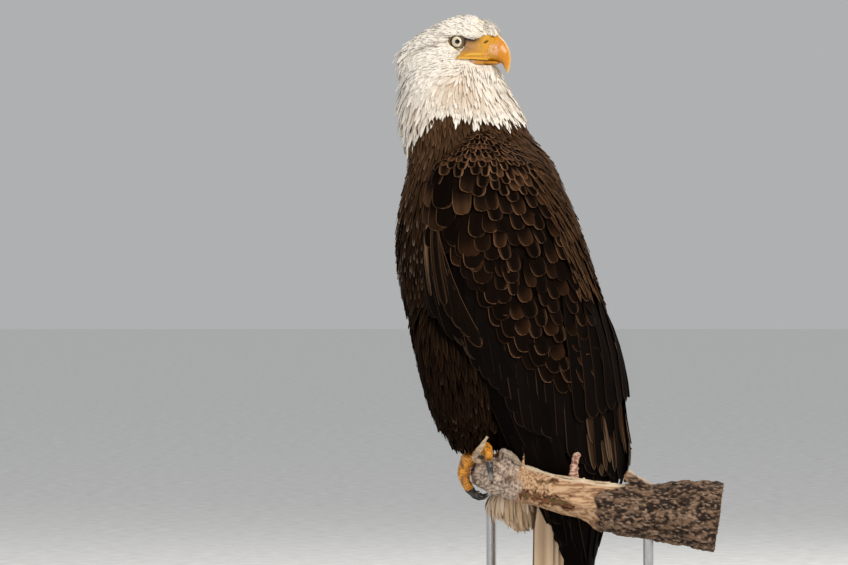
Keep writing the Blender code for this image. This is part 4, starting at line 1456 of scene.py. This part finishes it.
def make_wings(hull, finish, dark_finish):
    """Lays the left wing's feathers and builds them twice, the second time mirrored."""
    wing = Surface(remade(LEFT_WING, 0.0025, 5))
    coverts = [(make_small_coverts(hull), covert_colours)]
    coverts += [(make_greater_coverts(hull), covert_colours), (make_alula(wing), alula_colours)]
    shoulder = [(make_scapulars(hull), scapular_colours)]
    shoulder += [(make_fawn_feathers(hull), fawn_colours)]
    inner = [(make_tertials(hull), tertial_colours)]
    quills = {"secondaries": make_secondaries(wing), "primaries": make_primaries(wing)}
    brown, dark = (finish, "brown_plumage"), (dark_finish, "dark_flight_feathers")
    for side, mirrored in (("left", False), ("right", True)):
        how = {"mirrored": mirrored, "on_grid": True}
        coat_piece(f"wing_{side}_covert_feathers", coverts, *brown, **how)
        coat_piece(f"scapulars_{side}", shoulder, *brown, **how)
        coat_piece(f"tertials_{side}", inner, *dark, **how)
        for part, feathers in quills.items():
            name, batches = f"wing_{side}_{part}", [(feathers, flight_colours)]
            coat_piece(f"{name}_vanes", batches, *dark, stands_for=[name], **how)


# ---------------------------------------------------------------- tail

SIDE_VANE_TOP = 0.256
TAIL_STEPS = 14


def side_vane_width(z):
    """How far out the tail's side feathers lie at this height."""
    return min(0.043 + 0.115 * (0.300 - z), 0.0650)


def make_tail(finish):
    """Six pairs of feathers on the tail's back, and three down each of its sides."""
    tail = Surface(remade(["tail"], 0.002, 4))
    low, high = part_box("tail")
    feathers = Feathers(FLIGHT, 0.06, 0.0010, 39)
    for place, side in itertools.product((0.93, 0.76, 0.60, 0.44, 0.28, 0.12), (1, -1)):

        def back_row(share):
            z = high.z - 0.010 + (low.z + 0.004 + 0.010 * place - high.z + 0.010) * share
            start = Vector((side * place * (0.032 + 0.026 * share), 0.3, z))
            hit, _, index, _ = tail.tree.ray_cast(start, Vector((0, -1, 0)))
            if hit is None:
                hit, _, index, _ = tail.tree.find_nearest(start - Vector((0, 0.26, 0)))
            return hit, tail.normals[index]

        over = 0.0020 * (1 - place)
        rows = strand(back_row, TAIL_STEPS)
        feathers.add(rows, 0.0155, -0.0040 + over, over - 0.0004, 0.0010 * side)
    for side, (i, front) in itertools.product((1, -1), enumerate((0.0160, 0.0230, 0.0300))):

        def side_row(share):
            z = SIDE_VANE_TOP + (low.z + 0.002 + 0.005 * i - SIDE_VANE_TOP) * share
            x = side * (side_vane_width(z) - 0.0022 * i)
            place = Vector((x, front + 0.002 - 0.003 * share, z))
            return place, Vector((side, -0.35, 0)).normalized()

        feathers.add(strand(side_row, TAIL_STEPS), 0.0128, 0.0, 0.0, -0.0008 * side)
    batches, how = [(feathers, tail_colours)], {"on_grid": True, "stands_for": ["tail"]}
    coat_piece("tail_feathers", batches, finish, "cream_plumage", **how)


# ---------------------------------------------------------------- bill, eyes and bare skin


def slanting_slit(u, w, middle_u, middle_w, slope, width, length):
    """1 in a slanting slit of the head's side, 0 away from it."""
    across = (w - middle_w) - slope * (u - middle_u)
    along = (u - middle_u) + slope * (w - middle_w)
    return np.exp(-((across / width) ** 2) - (along / length) ** 4)


def make_upper_bill(finish):
    """The upper bill and the cere, with nostril, gape, flaky patch and darker edge, a painted
    highlight along the ridge, and painted shade in the nostril.
    """
    mesh = remade(["bill_upper", "cere"], 0.0008, 6)
    points, normals = read_shape(mesh)
    u, v, w = head_coordinates(points)
    cere = fall(-0.0008, 0.0008, u - 0.0600 - 0.08 * (w - 0.005))
    gape = bell(w, -0.0083, 0.0016) * fall(0.056, 0.062, u)
    groove = bell(w, -0.0052, 0.0009) * fall(0.054, 0.060, u)
    slit = slanting_slit(u, w, 0.0570, 0.0127, 0.62, 0.0011, 0.0033) * rise(0.004, 0.007, v)
    corner = bell(u, 0.0600, 0.0040) * bell(w, 0.0190, 0.0070) * rise(0.003, 0.007, v)
    flaky = rise(0.15, 0.85, bell(u, 0.0655, 0.0085) * bell(w, 0.002, 0.0080))
    rough = soft_noise(points, 900)
    push = 0.0005 * cere + 0.0009 * gape - 0.0007 * groove - 0.0024 * slit + 0.0016 * corner
    push = push + rough * (0.00008 + 0.00025 * flaky)
    points = points + normals * push[:, None]
    write_points(mesh, points)
    fine = soft_noise(points, 420)
    edge = np.interp(u, (0.060, 0.070, 0.078), (-0.0122, -0.0134, -0.0155))
    biting = bell(w - edge, 0, 0.0024) * rise(0.058, 0.064, u) * fall(0.076, 0.080, u)
    colours = layered(
        (0.58, 0.225, 0.010),
        (CERE, np.maximum(cere, fall(0.061, 0.073, u + 0.001 * fine))),
        ((0.56, 0.185, 0.006), rise(0.064, 0.078, u) * rise(-0.3, 0.3, fine)),
        ((0.50, 0.27, 0.040), fall(-0.026, -0.016, w) * 0.8),
        # A painted highlight along the ridge of the bill.
        ((0.80, 0.56, 0.20), bell(v, 0, 0.0024) * rise(0.064, 0.070, u) * 0.75),
        ((0.70, 0.43, 0.31), flaky * rise(-0.30, 0.20, rough + fine)),
        ((0.30, 0.115, 0.010), biting * 0.75),
        ((0.80, 0.48, 0.05), gape * 0.9),
        # The nostril painted near black: painted shade in its opening.
        ((0.05, 0.025, 0.01), np.clip(slit * 1.3, 0, 1)),
        ((0.40, 0.23, 0.03), 0.30 * rise(0.1, 0.5, rough) * cere),
    )
    paint(mesh, colours)
    add_piece("bill_and_cere", mesh, finish, "bill_yellow", ["bill_upper", "cere"])


def make_lower_bill(finish):
    """The lower bill, raised and moved forward to meet the upper one, dark at its edge."""
    mesh = remade(["bill_lower"], 0.0008, 4)
    points, _ = read_shape(mesh)
    u, _, w = head_coordinates(points)
    points[:, 2] += 0.0012 - 0.0010 * rise(0.050, 0.064, u) * fall(-0.0165, -0.0125, w)
    points += np.array(FORWARD) * (0.0014 * rise(0.055, 0.070, u))[:, None]
    write_points(mesh, points)
    u, _, w = head_coordinates(points)
    colours = layered(
        (0.46, 0.195, 0.014),
        ((0.50, 0.24, 0.03), fall(0.03, 0.06, u)),
        ((0.18, 0.08, 0.03), rise(-0.0122, -0.0108, w) * rise(0.03, 0.05, u)),
    )
    paint(mesh, colours)
    add_piece("bill_lower_horn", mesh, finish, "bill_yellow", ["bill_lower"])


def turned_mesh(name, rings, closed_ends=False):
    """A mesh of quads between rings of points, all of one length."""
    count = len(rings[0])
    faces = []
    for i in range(len(rings) - 1):
        for j in range(count):
            k = (j + 1) % count
            faces.append((i * count + j, i * count + k, (i + 1) * count + k, (i + 1) * count + j))
    if closed_ends:
        faces.append(tuple(reversed(range(count))))
        faces.append(tuple((len(rings) - 1) * count + j for j in range(count)))
    mesh = bpy.data.meshes.new(name)
    mesh.from_pydata([tuple(p) for ring in rings for p in ring], [], faces)
    mesh.update()
    return mesh


def eye_axes(sign, ahead):
    """The way an eye looks, and the ways forward and up across it."""
    gaze = (RIGHT * sign + FORWARD * ahead).normalized()
    across = (FORWARD - gaze * FORWARD.dot(gaze)).normalized()
    return gaze, across, (UP - gaze * UP.dot(gaze)).normalized()


def eye_colour(turn, radius):
    """The eye's colour at an angle round its middle and a distance from the middle."""
    streak = noise.noise(Vector((math.cos(turn) * 9, math.sin(turn) * 9, radius * 500)))
    aside = math.hypot(radius * math.cos(turn) - 0.0008, radius * math.sin(turn))
    return layered(
        (0.80, 0.71, 0.58),
        ((0.60, 0.48, 0.31), 0.5 + 0.5 * streak),
        ((0.03, 0.02, 0.015), rise(IRIS_RADIUS, IRIS_RADIUS + 0.0006, radius)),
        ((0.002, 0.002, 0.002), fall(PUPIL_RADIUS, PUPIL_RADIUS + 0.0004, aside)),
    )


def make_eyes():
    finish = tinted("eye_finish", 0.12, 2500, 0.05, 0.00002, coat=0.25, specular=0.30)
    lid_finish = tinted("lid_finish", 0.55, 2600, 0.22, 0.0003)
    for side, sign in (("right", 1), ("left", -1)):
        centre = head_point(EYE.x, sign * EYE.y, EYE.z)
        gaze, across, up = eye_axes(sign, 0.20)
        ways = circle_ways(EYE_SEGMENTS, across, up)
        rings, tints = [], []
        for i in range(1, EYE_RINGS):
            angle = math.pi * i / EYE_RINGS
            ahead, aside = gaze * math.cos(angle), math.sin(angle)
            reach = EYE_RADIUS + 0.0006 * math.exp(-((angle / 0.5) ** 2))
            radius = EYE_RADIUS * aside if angle < math.pi / 2 else EYE_RADIUS
            rings.append([centre + (ahead + way * aside) * reach for _, way in ways])
            tints += [eye_colour(turn, radius) for turn, _ in ways]
        mesh = turned_mesh("eye", rings, closed_ends=True)
        edited(mesh, turn_outward)
        paint(mesh, tints)
        add_piece(f"eyeball_{side}", mesh, finish, "eye", [f"eye_{side}"])
        make_lid(side, sign, lid_finish)


# The lid's bands from the eye outwards: share of its width, height and how dark they are.
LID_BANDS = ((0.00, -0.0034, 0.9), (0.02, -0.0004, 1.0), (0.14, 0.0006, 0.9))
LID_BANDS += ((0.28, 0.0009, 0.15), (0.50, 0.0006, 0.0), (0.68, 0.0000, 0.1))
LID_BANDS += ((0.80, -0.0006, 0.9), (0.90, -0.0004, 0.7), (1.00, -0.0012, 0.3))
LID_BANDS += ((1.02, -0.0040, 0.3),)


def make_lid(side, sign, finish):
    """The ring of bare skin round one eye: a dark rim at the eye, an olive band, a dark fold; its
    top darkened as painted shadow of the brow.
    """
    centre = head_point(EYE.x, sign * LID_OUT, EYE.z)
    gaze, across, up = eye_axes(sign, 0.06)
    rings, tints = [], []
    for turn, way in circle_ways(LID_SEGMENTS, across, up):
        top = max(0.0, math.sin(turn)) ** 2
        rear = max(0.0, -math.cos(turn)) ** 6
        front = max(0.0, math.cos(turn)) ** 4
        inner = 0.0074 - 0.0009 * top
        outer = 0.0113 + 0.0022 * rear + 0.0008 * max(0.0, -math.sin(turn)) ** 8 - 0.0028 * top
        olive = mix((0.34, 0.22, 0.055), (0.22, 0.135, 0.045), 0.5 + 0.5 * math.sin(turn * 5))
        ring = []
        for share, height, dark in LID_BANDS:
            wrinkle = 0.00015 * math.sin(turn * 30 + share * 9) * (0.1 < share < 0.8)
            reach = inner + (outer - inner) * share
            slope = -0.10 * (reach - inner) * (1 + 1.5 * rear)
            ring.append(centre + way * reach + gaze * (height + wrinkle + slope))
            # 0.85 * top: painted shadow of the brow over the ring's top.
            shade = min(1.0, dark + 0.85 * top + 0.75 * front)
            tints.append(mix(olive, (0.030, 0.018, 0.010), shade))
        rings.append(ring)
    mesh = turned_mesh("lid", rings + rings[:1])
    paint(mesh, tints + tints[: len(LID_BANDS)])
    edited(mesh, weld, turn_outward)
    add_piece(f"eyelid_{side}", mesh, finish, "cere_yellow")


def make_lores():
    """The bare skin between eye, bill and mouth corner, with the rolled lips of the mouth."""
    mesh = remade(["head"], 0.0009, 10)
    sculpt_head(mesh)
    points, normals = read_shape(mesh)
    share = bare_share(points)
    grain = soft_noise(points, 1400)
    u, _, w = head_coordinates(points)
    upper = np.interp(u, (0.024, 0.040, 0.056), (-0.0082, -0.0040, -0.0040))
    lower = np.interp(u, (0.022, 0.045, 0.062), (-0.0092, -0.0090, -0.0106))
    mouth = np.interp(u, (0.022, 0.045, 0.062), (-0.0108, -0.0112, -0.0128))
    lips = bell(w, upper, 0.0012) * rise(0.030, 0.038, u) + bell(w, lower, 0.0012)
    line = bell(w, mouth, 0.0007)
    jaw = fall(-0.0004, 0.0004, w - mouth + 0.0004)
    slit = slanting_slit(u, w, 0.0575, 0.0122, 0.75, 0.0013, 0.0036)
    ridge = bell(u, 0.0530, 0.0010) * (w > -0.004)
    push = -0.0008 + 0.0014 * rise(0.1, 0.6, share) + 0.0002 * grain + 0.0009 * lips
    push = push - 0.0014 * line + 0.0004 * jaw - 0.0016 * slit + 0.0006 * ridge
    write_points(mesh, points + normals * push[:, None])
    paint(mesh, lores_colours(points, u, w, grain, lips, line, jaw, slit))

    def drop_feathered(work):
        work.verts.ensure_lookup_table()
        outside = [vertex for vertex in work.verts if share[vertex.index] < 0.05]
        bmesh.ops.delete(work, geom=outside, context="VERTS")

    edited(mesh, drop_feathered)
    finish = tinted("lores_finish", 0.46, 2600, 0.20, 0.0003, specular=0.30)
    add_piece("lores", mesh, finish, "cere_yellow")


def lores_colours(points, u, w, grain, lips, line, jaw, slit):
    """Brown, darkened under the brow by painted shadow, yellow towards the cere and the mouth,
    black along the mouth.
    """
    above = w - brow_height(u)
    low = fall(-0.004, 0.004, w)
    stipple = rise(0.05, 0.40, grain) * bell(u, 0.033, 0.007)
    # shade and under_brow: painted shadow of the brow on the upper lores, darkest in a thin line
    # just below its edge.
    shade = rise(-0.0090, -0.0005, above) * (1 - 0.60 * rise(0.038, 0.054, u))
    streaks = rise(0.0, 0.5, np.sin(u * 3600 + 2 * np.sin(w * 500)) * (grain + 0.4))
    under_brow = rise(-0.0046, -0.0022, above) * fall(0.043, 0.050, u)
    cere_edge = 0.0528 + 0.0020 * bell(w, 0.006, 0.006) - 0.0005 * grain
    cere = rise(-0.0034, 0.0016, u - cere_edge) * rise(-0.0130, -0.0110, w)
    reddish = rise(0.0, 0.6, fractal(points, 160, 2)) * cere
    scaly = bell(u, 0.0590, 0.0045) * bell(w, -0.0035, 0.0045) * cere
    return layered(
        (0.275, 0.108, 0.022),
        ((0.52, 0.235, 0.020), low),
        ((0.50, 0.235, 0.022), rise(0.036, 0.052, u)),
        ((0.17, 0.13, 0.07), stipple * 0.75),
        ((0.42, 0.36, 0.26), 0.22 * rise(0.1, 0.4, grain) * (1 - low)),
        # Painted shadow of the brow.
        ((0.060, 0.026, 0.012), shade * 0.88),
        ((0.54, 0.36, 0.14), 0.30 * streaks * (1 - low)),
        # A thin dark line of painted shadow just below the brow.
        ((0.016, 0.008, 0.005), under_brow * 0.9),
        ((0.74, 0.40, 0.04), np.clip(lips, 0, 1)),
        (CERE, cere),
        ((0.60, 0.21, 0.020), reddish * 0.5),
        ((0.66, 0.38, 0.26), scaly * rise(-0.2, 0.3, grain) * 0.8),
        ((0.40, 0.23, 0.03), rise(0.15, 0.45, grain) * cere * 0.55),
        # The nostril painted near black: painted shade in its opening.
        ((0.045, 0.016, 0.006), np.clip(slit * 1.5, 0, 1)),
        ((0.50, 0.22, 0.03), jaw),
        ((0.60, 0.36, 0.28), bell(u, 0.040, 0.0035) * jaw * 0.8),
        ((0.030, 0.012, 0.005), line * 0.9),
    )


# ---------------------------------------------------------------- feet

# The middle of the toes' grip round the branch, as (y, z).
GRIP_CENTRE = (-0.0555, 0.268)
TOES = ("inner", "middle", "outer", "hind")


def make_feet():
    """Scaly feet, with rings of scales round the toes and across the tarsus, and claws."""
    finish = tinted("foot_finish", 0.50, 900, 0.16, 0.0006, coat=0.05)
    horn = tinted("claw_finish", 0.28, 500, 0.15, 0.0002, coat=0.3)
    for side in ("left", "right"):
        names = [f"tarsus_{side}"] + [f"toe_{side}_{toe}" for toe in TOES]
        mesh = remade(names, 0.0011, 4)
        points, normals = read_shape(mesh)
        _, y, z = points.T
        turn = np.arctan2(z - GRIP_CENTRE[1], y - GRIP_CENTRE[0])
        above = rise(0.302, 0.310, z)
        phase = turn / math.radians(6.2) * (1 - above) + z / 0.0036 * above
        ridge = np.abs(np.sin(math.pi * phase)) ** 0.7
        grain, lump = soft_noise(points, 420), soft_noise(points, 130)
        push = 0.0007 * (ridge - 0.5) + 0.00035 * grain + 0.0016 * lump
        write_points(mesh, points + normals * push[:, None])
        colours = layered(
            (0.78, 0.32, 0.020),
            ((0.46, 0.165, 0.012), rise(-0.3, 0.4, grain)),
            # Darker where the lumps sink in and in the grooves between the scales: painted shade
            # in these hollows.
            ((0.16, 0.065, 0.015), rise(0.10, 0.45, -lump) * 0.8),
            ((0.12, 0.050, 0.012), fall(0.15, 0.55, ridge) * 0.65),
        )
        paint(mesh, colours)
        add_piece(f"foot_{side}", mesh, finish, "foot_yellow", names)
        claws = [f"claw_{side}_{toe}" for toe in TOES]
        mesh = remade(claws, 0.0007, 4)
        # Pale grey patches on the black claws: painted sheen.
        pale = rise(0.0, 0.6, soft_noise(read_shape(mesh)[0], 150))
        paint(mesh, mix((0.018, 0.016, 0.015), (0.22, 0.20, 0.185), pale))
        add_piece(f"talons_{side}", mesh, horn, "claw_black", claws)


# ---------------------------------------------------------------- branch

# Where the bark begins along the branch, further back on its upper side.
BARK_EDGE_Z = (0.205, 0.2425, 0.2500, 0.2563)
BARK_EDGE_Y = (0.0790, 0.0850, 0.1000, 0.1200)

# The sawn end: the middle of its rings as (x, z), and the gap between rings.
CUT_CENTRE = (0.114, 0.214)
RING_GAP = 0.0028


def branch_marks(points, normals):
    """Noise along the grain, where bark, bare wood, rot, cracks and the sawn end are, and the
    upward faces that get a painted highlight.
    """
    x, y, z = points.T
    turn = rise(-0.060, 0.030, y)
    ways = unit(np.stack([1 - 0.9 * turn, 0.15 + 0.85 * turn, 0 * turn], axis=1))
    along = ways * (points * ways).sum(1)[:, None]
    cross = points - along
    stretched, flaky = cross + along * 0.14, cross + along * 0.45
    m = SimpleNamespace(grain=fractal(stretched, 330), coarse=fractal(stretched, 110))
    m.flakes, m.speck = fractal(flaky, 150, 5), fractal(flaky + 3, 420, 3)
    m.lumps = fractal(points, 45)
    ragged = 0.012 * fractal(points, 38, 3)
    bark_edge = np.interp(z, BARK_EDGE_Z, BARK_EDGE_Y)
    bark = rise(-0.003, 0.003, y - bark_edge + ragged + 0.006 * fractal(points, 120, 3))
    m.sawn = rise(0.72, 0.86, normals[:, 1]) * (y > 0.225)
    m.bark = bark * (1 - m.sawn)
    m.old = fall(-0.024, -0.016, y + ragged)
    m.bare = np.clip(1 - m.bark - m.old, 0, 1)
    low_patch = bell(z + 0.25 * (y + 0.018), 0.2463, 0.0075)
    low_patch = low_patch * rise(-0.026, -0.018, y) * fall(0.045, 0.060, y)
    high_patch = bell(z - 0.05 * y, 0.2600, 0.0035) * rise(0.000, 0.008, y)
    high_patch = high_patch * fall(0.030, 0.042, y)
    rotten = low_patch + 0.75 * high_patch + 0.50 * m.flakes + 0.45 * m.speck + 0.05
    m.rot = rise(0.45, 0.65, rotten) * m.bare
    m.twig = rise(0.0, 0.004, z - 0.262 + 0.35 * (y - 0.055)) * (np.abs(y - 0.056) < 0.013)
    m.crack = bell(m.coarse, 0, 0.045)
    m.split = bell(fractal(flaky + 7, 70, 3), 0, 0.07)
    m.radius = np.hypot(z - CUT_CENTRE[1], x - CUT_CENTRE[0]) + 0.002 * m.lumps
    spoke = 2.5 * np.arctan2(z - CUT_CENTRE[1], x - CUT_CENTRE[0]) + 0.8
    spoke = spoke + 0.9 * fractal(points, 60, 3)
    m.split_end = bell(np.sin(spoke), 0, 0.05) * rise(0.004, 0.026, m.radius - 0.03 * m.lumps)
    m.knot = bell(y, -0.029, 0.0085) * bell(z, 0.2625, 0.0065)
    # The upward faces of the bare wood and of the bark's top, which are lightened later as
    # painted highlight.
    m.top = rise(0.80, 0.98, normals[:, 2])
    m.rim = rise(0.45, 0.80, normals[:, 2]) * (y > 0.116) * (y < 0.156) * (z > 0.2560)
    return m


def branch_push(points, m):
    """How far each point of the branch moves out."""
    bark = 0.0022 * m.flakes + 0.0014 * m.lumps + 0.0007 * m.grain - 0.0022 * m.split + 0.0012
    old = 0.0014 * m.coarse + 0.0007 * m.grain + 0.0008 * m.flakes - 0.0008 * m.crack
    bare = (0.0004 * m.grain - 0.0007 * m.crack - 0.0014 * m.rot) * (1 - m.sawn)
    twig = 0.0013 + 0.0034 * fractal(points + 5, 190, 2)
    push = m.bark * bark + m.old * old + m.bare * bare
    return push - m.sawn * 0.0012 * m.split_end + m.twig * twig


def branch_colours(points, m):
    """Dark bark, old weathered wood in front, and bare wood with rot and a sawn end; upward faces
    lightened as painted highlight.
    """
    bark = layered(
        (0.024, 0.013, 0.009),
        ((0.160, 0.098, 0.062), rise(-0.35, 0.32, m.flakes + 0.6 * m.speck)),
        ((0.010, 0.006, 0.004), m.split * 0.85),
        ((0.40, 0.28, 0.20), rise(0.24, 0.50, m.speck) * 0.52),
        # Painted highlight on the upward faces of the bark's top.
        ((0.60, 0.49, 0.38), m.rim * 0.85),
    )
    old = layered(
        (0.25, 0.180, 0.140),
        ((0.62, 0.480, 0.385), rise(-0.30, 0.25, m.grain + 0.4 * m.speck)),
        ((0.055, 0.034, 0.023), m.crack * rise(0.0, 0.3, m.lumps) * 0.8),
        ((0.10, 0.045, 0.022), m.knot * 0.85),
    )
    rotten = layered(
        (0.200, 0.055, 0.020),
        ((0.020, 0.009, 0.005), rise(-0.20, 0.25, m.speck + m.grain)),
        ((0.13, 0.095, 0.030), rise(0.05, 0.25, m.coarse) * 0.7),
    )
    twig = mix((0.24, 0.095, 0.060), (0.58, 0.39, 0.30), rise(-0.2, 0.2, m.speck))
    rings = 0.5 + 0.5 * np.sin(m.radius * 2 * math.pi / RING_GAP)
    sawn = layered(
        (0.56, 0.38, 0.225),
        ((0.36, 0.215, 0.115), rings * (0.6 + 0.4 * fractal(points, 90, 2))),
        ((0.10, 0.055, 0.030), m.split_end * 0.6),
        ((0.16, 0.10, 0.060), rise(0.0385, 0.0415, m.radius) * 0.8),
    )
    bare = layered(
        (0.58, 0.375, 0.225),
        ((0.28, 0.145, 0.072), rise(-0.3, 0.4, m.grain)),
        ((0.12, 0.055, 0.028), m.crack * 0.55),
        (rotten, m.rot * 0.9),
        (twig, m.twig),
        (sawn, m.sawn),
        # Painted highlight on the upward faces of the bare wood.
        ((0.78, 0.66, 0.50), m.top * 0.75),
    )
    return bark * m.bark[:, None] + old * m.old[:, None] + bare * m.bare[:, None]


def make_branch():
    mesh = remade(["perch_branch"], 0.0015, 3)
    points, normals = read_shape(mesh)
    marks = branch_marks(points, normals)
    write_points(mesh, points + normals * branch_push(points, marks)[:, None])
    paint(mesh, branch_colours(points, marks))
    finish = tinted("branch_finish", 0.82, 900, 0.20, 0.0006, specular=0.20)
    add_piece("perch_wood", mesh, finish, "branch_wood", ["perch_branch"])
    make_splinters(finish)


# Torn strips on the branch: path, half widths, thickness, the way they face and their colour.
SPLINTERS = (
    (
        [(0.068, -0.0560, 0.2820), (0.086, -0.0735, 0.2880), (0.096, -0.0660, 0.3030)]
        + [(0.099, -0.0565, 0.3175)],
        (0.0030, 0.0030, 0.0034, 0.0016), 0.0016, (1, -0.2, 0.1), (0.55, 0.42, 0.29),
    ),
    (
        [(0.074, -0.0390, 0.2860), (0.081, -0.0375, 0.2990), (0.088, -0.0250, 0.2930)]
        + [(0.093, -0.0115, 0.2810)],
        (0.0020, 0.0030, 0.0034, 0.0010), 0.0022, (1, 0, 0.2), (0.42, 0.34, 0.27),
    ),
    (
        [(0.086, -0.0100, 0.2740), (0.088, -0.0098, 0.2840), (0.089, -0.0092, 0.2950)],
        (0.0016, 0.0012, 0.0003), 0.0012, (1, 0, 0), (0.30, 0.25, 0.12),
    ),
    (
        [(0.080, -0.0520, 0.2560), (0.086, -0.0440, 0.2500), (0.089, -0.0330, 0.2490)],
        (0.0012, 0.0026, 0.0006), 0.0014, (1, 0, 0), (0.50, 0.42, 0.34),
    ),
    (
        [(0.103, 0.0300, 0.2680), (0.107, 0.0500, 0.2650), (0.112, 0.0800, 0.2600)]
        + [(0.116, 0.1010, 0.2590)],
        (0.0008, 0.0022, 0.0026, 0.0006), 0.0016, (0.6, 0, 1), (0.70, 0.54, 0.37),
    ),
)


SPLINTER_STEPS = 18


def splinter(path, widths, thickness, facing, seed):
    """A thin torn strip of wood along a path, with jagged edges."""
    rings = []
    for k in range(SPLINTER_STEPS + 1):
        share = k / SPLINTER_STEPS
        place = Vector(curve(path, share))
        before, after = curve(path, max(0, share - 0.02)), curve(path, min(1, share + 0.02))
        along = (Vector(after) - Vector(before)).normalized()
        side = along.cross(Vector(facing)).normalized()
        out = side.cross(along).normalized()
        half = curve([(w,) for w in widths], share)[0]
        left = -half * (1 + 0.35 * noise.noise(Vector((share * 9, seed, 0.5))))
        right = half * (1 + 0.35 * noise.noise(Vector((share * 9, seed, 8.5))))
        ripple = 0.0004 * noise.noise(Vector((share * 14, seed, 3.1)))
        section = [(left, -0.3), (left * 0.5, 0.5), (right * 0.4, 0.4), (right, -0.4)]
        section += [(right * 0.5, -0.6), (left * 0.5, -0.5)]
        rings.append([place + side * a + out * (h * thickness + ripple) for a, h in section])
    mesh = turned_mesh("splinter", rings, closed_ends=True)
    edited(mesh, turn_outward)
    return mesh


def make_splinters(finish):
    work = bmesh.new()
    tints = []
    for order, (*shape, colour) in enumerate(SPLINTERS):
        mesh = splinter(*shape, 3.7 * order)
        for x, y, z in (vertex.co for vertex in mesh.vertices):
            streak = noise.noise(Vector((x * 900, y * 500, z * 250)))
            tints.append(mix(colour, (0.14, 0.09, 0.055), 0.35 + 0.9 * streak))
        work.from_mesh(mesh)
    mesh = bpy.data.meshes.new("splinters")
    work.to_mesh(mesh)
    work.free()
    paint(mesh, tints)
    add_piece("branch_splinters", mesh, finish, "branch_wood", sharp=30)


# ---------------------------------------------------------------- stand and surroundings

# The lamps: place, power, size and colour, all aimed at the middle of the bird.
LAMPS = {
    "key_light": ((3.4, 2.4, 3.4), 190, 1.6, (1.0, 0.95, 0.86)),
    "fill_light": ((3.4, -3.0, 1.4), 34, 2.4, (1.0, 0.97, 0.93)),
    "rim_light": ((-2.4, 1.6, 2.8), 50, 1.8, (1.0, 0.97, 0.92)),
}
LAMP_AIM = Vector((0, -0.05, 0.45))
FLOOR_RADIUS = 60
SKY = (0.86, 0.87, 0.88, 1)
SKY_STRENGTH = 0.50
CAMERA_PLACE = (8, -0.138, 0.5155)
CAMERA_LENS = 261


def finish_stand():
    """Finishes the CAD's own base and rods, which no piece replaces."""
    rod = plain("brushed_rod", (0.52, 0.52, 0.53), 0.30, 1.0)
    looks = {"stand_base": plain("painted_base", (0.030, 0.028, 0.027), 0.42)}
    looks.update(stand_rod_front=rod, stand_rod_back=rod)
    for name, finish in looks.items():
        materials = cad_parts[name].data.materials
        materials.clear()
        materials.append(finish)


def placed(name, data, location):
    """A lamp or camera at its place in the scene."""
    made = bpy.data.objects.new(name, data)
    bpy.context.scene.collection.objects.link(made)
    made.location = location
    return made


def make_surroundings():
    bpy.ops.mesh.primitive_circle_add(vertices=64, radius=FLOOR_RADIUS, fill_type="NGON")
    floor = bpy.context.object
    floor.name = "studio_floor"
    floor.data.materials.append(plain("floor_paper", (0.90, 0.90, 0.89), 0.85, scale=30))
    bpy.context.scene.view_settings.view_transform = "Standard"
    world = bpy.data.worlds.new("studio_air")
    bpy.context.scene.world = world
    world.use_nodes = True
    sky = world.node_tree.nodes["Background"]
    sky.inputs["Color"].default_value = SKY
    sky.inputs["Strength"].default_value = SKY_STRENGTH
    for name, (place, power, size, colour) in LAMPS.items():
        data = bpy.data.lights.new(name, "AREA")
        data.energy, data.size, data.color = power, size, colour
        aim = LAMP_AIM - Vector(place)
        placed(name, data, place).rotation_euler = aim.to_track_quat("-Z", "Y").to_euler()


def make_camera():
    """The photo's view: from the bird's left, level."""
    data = bpy.data.cameras.new("photo_view")
    data.sensor_width = 36
    data.lens = CAMERA_LENS
    data.clip_end = 200
    camera = placed("photo_view", data, CAMERA_PLACE)
    camera.rotation_euler = (math.radians(90), 0, math.radians(90))
    bpy.context.scene.camera = camera


# ---------------------------------------------------------------- build everything

white_finish = feather_material("white_feather", 0.75, 5200, 0.30, 0.15)
brown_finish = feather_material("brown_feather", 0.70, 4200, 0.40, 0.02)
dark_finish = feather_material("dark_feather", 0.62, 4000, 0.35, 0.02)
bill_finish = tinted("bill_finish", 0.36, 700, 0.10, 0.0002, coat=0.15, specular=0.35)

make_skin()
hull = Surface(hull_mesh(FLESH + QUILLS), FLESH + QUILLS)
make_head_coat(hull, white_finish)
make_face_tufts(hull, white_finish)
make_neck_coat(hull, white_finish)
make_body_coat(hull, brown_finish)
make_undertail_coat(hull, white_finish)
make_wings(hull, brown_finish, dark_finish)
make_tail(white_finish)
make_upper_bill(bill_finish)
make_lower_bill(bill_finish)
make_eyes()
make_lores()
make_feet()
make_branch()
finish_stand()
make_surroundings()
make_camera()
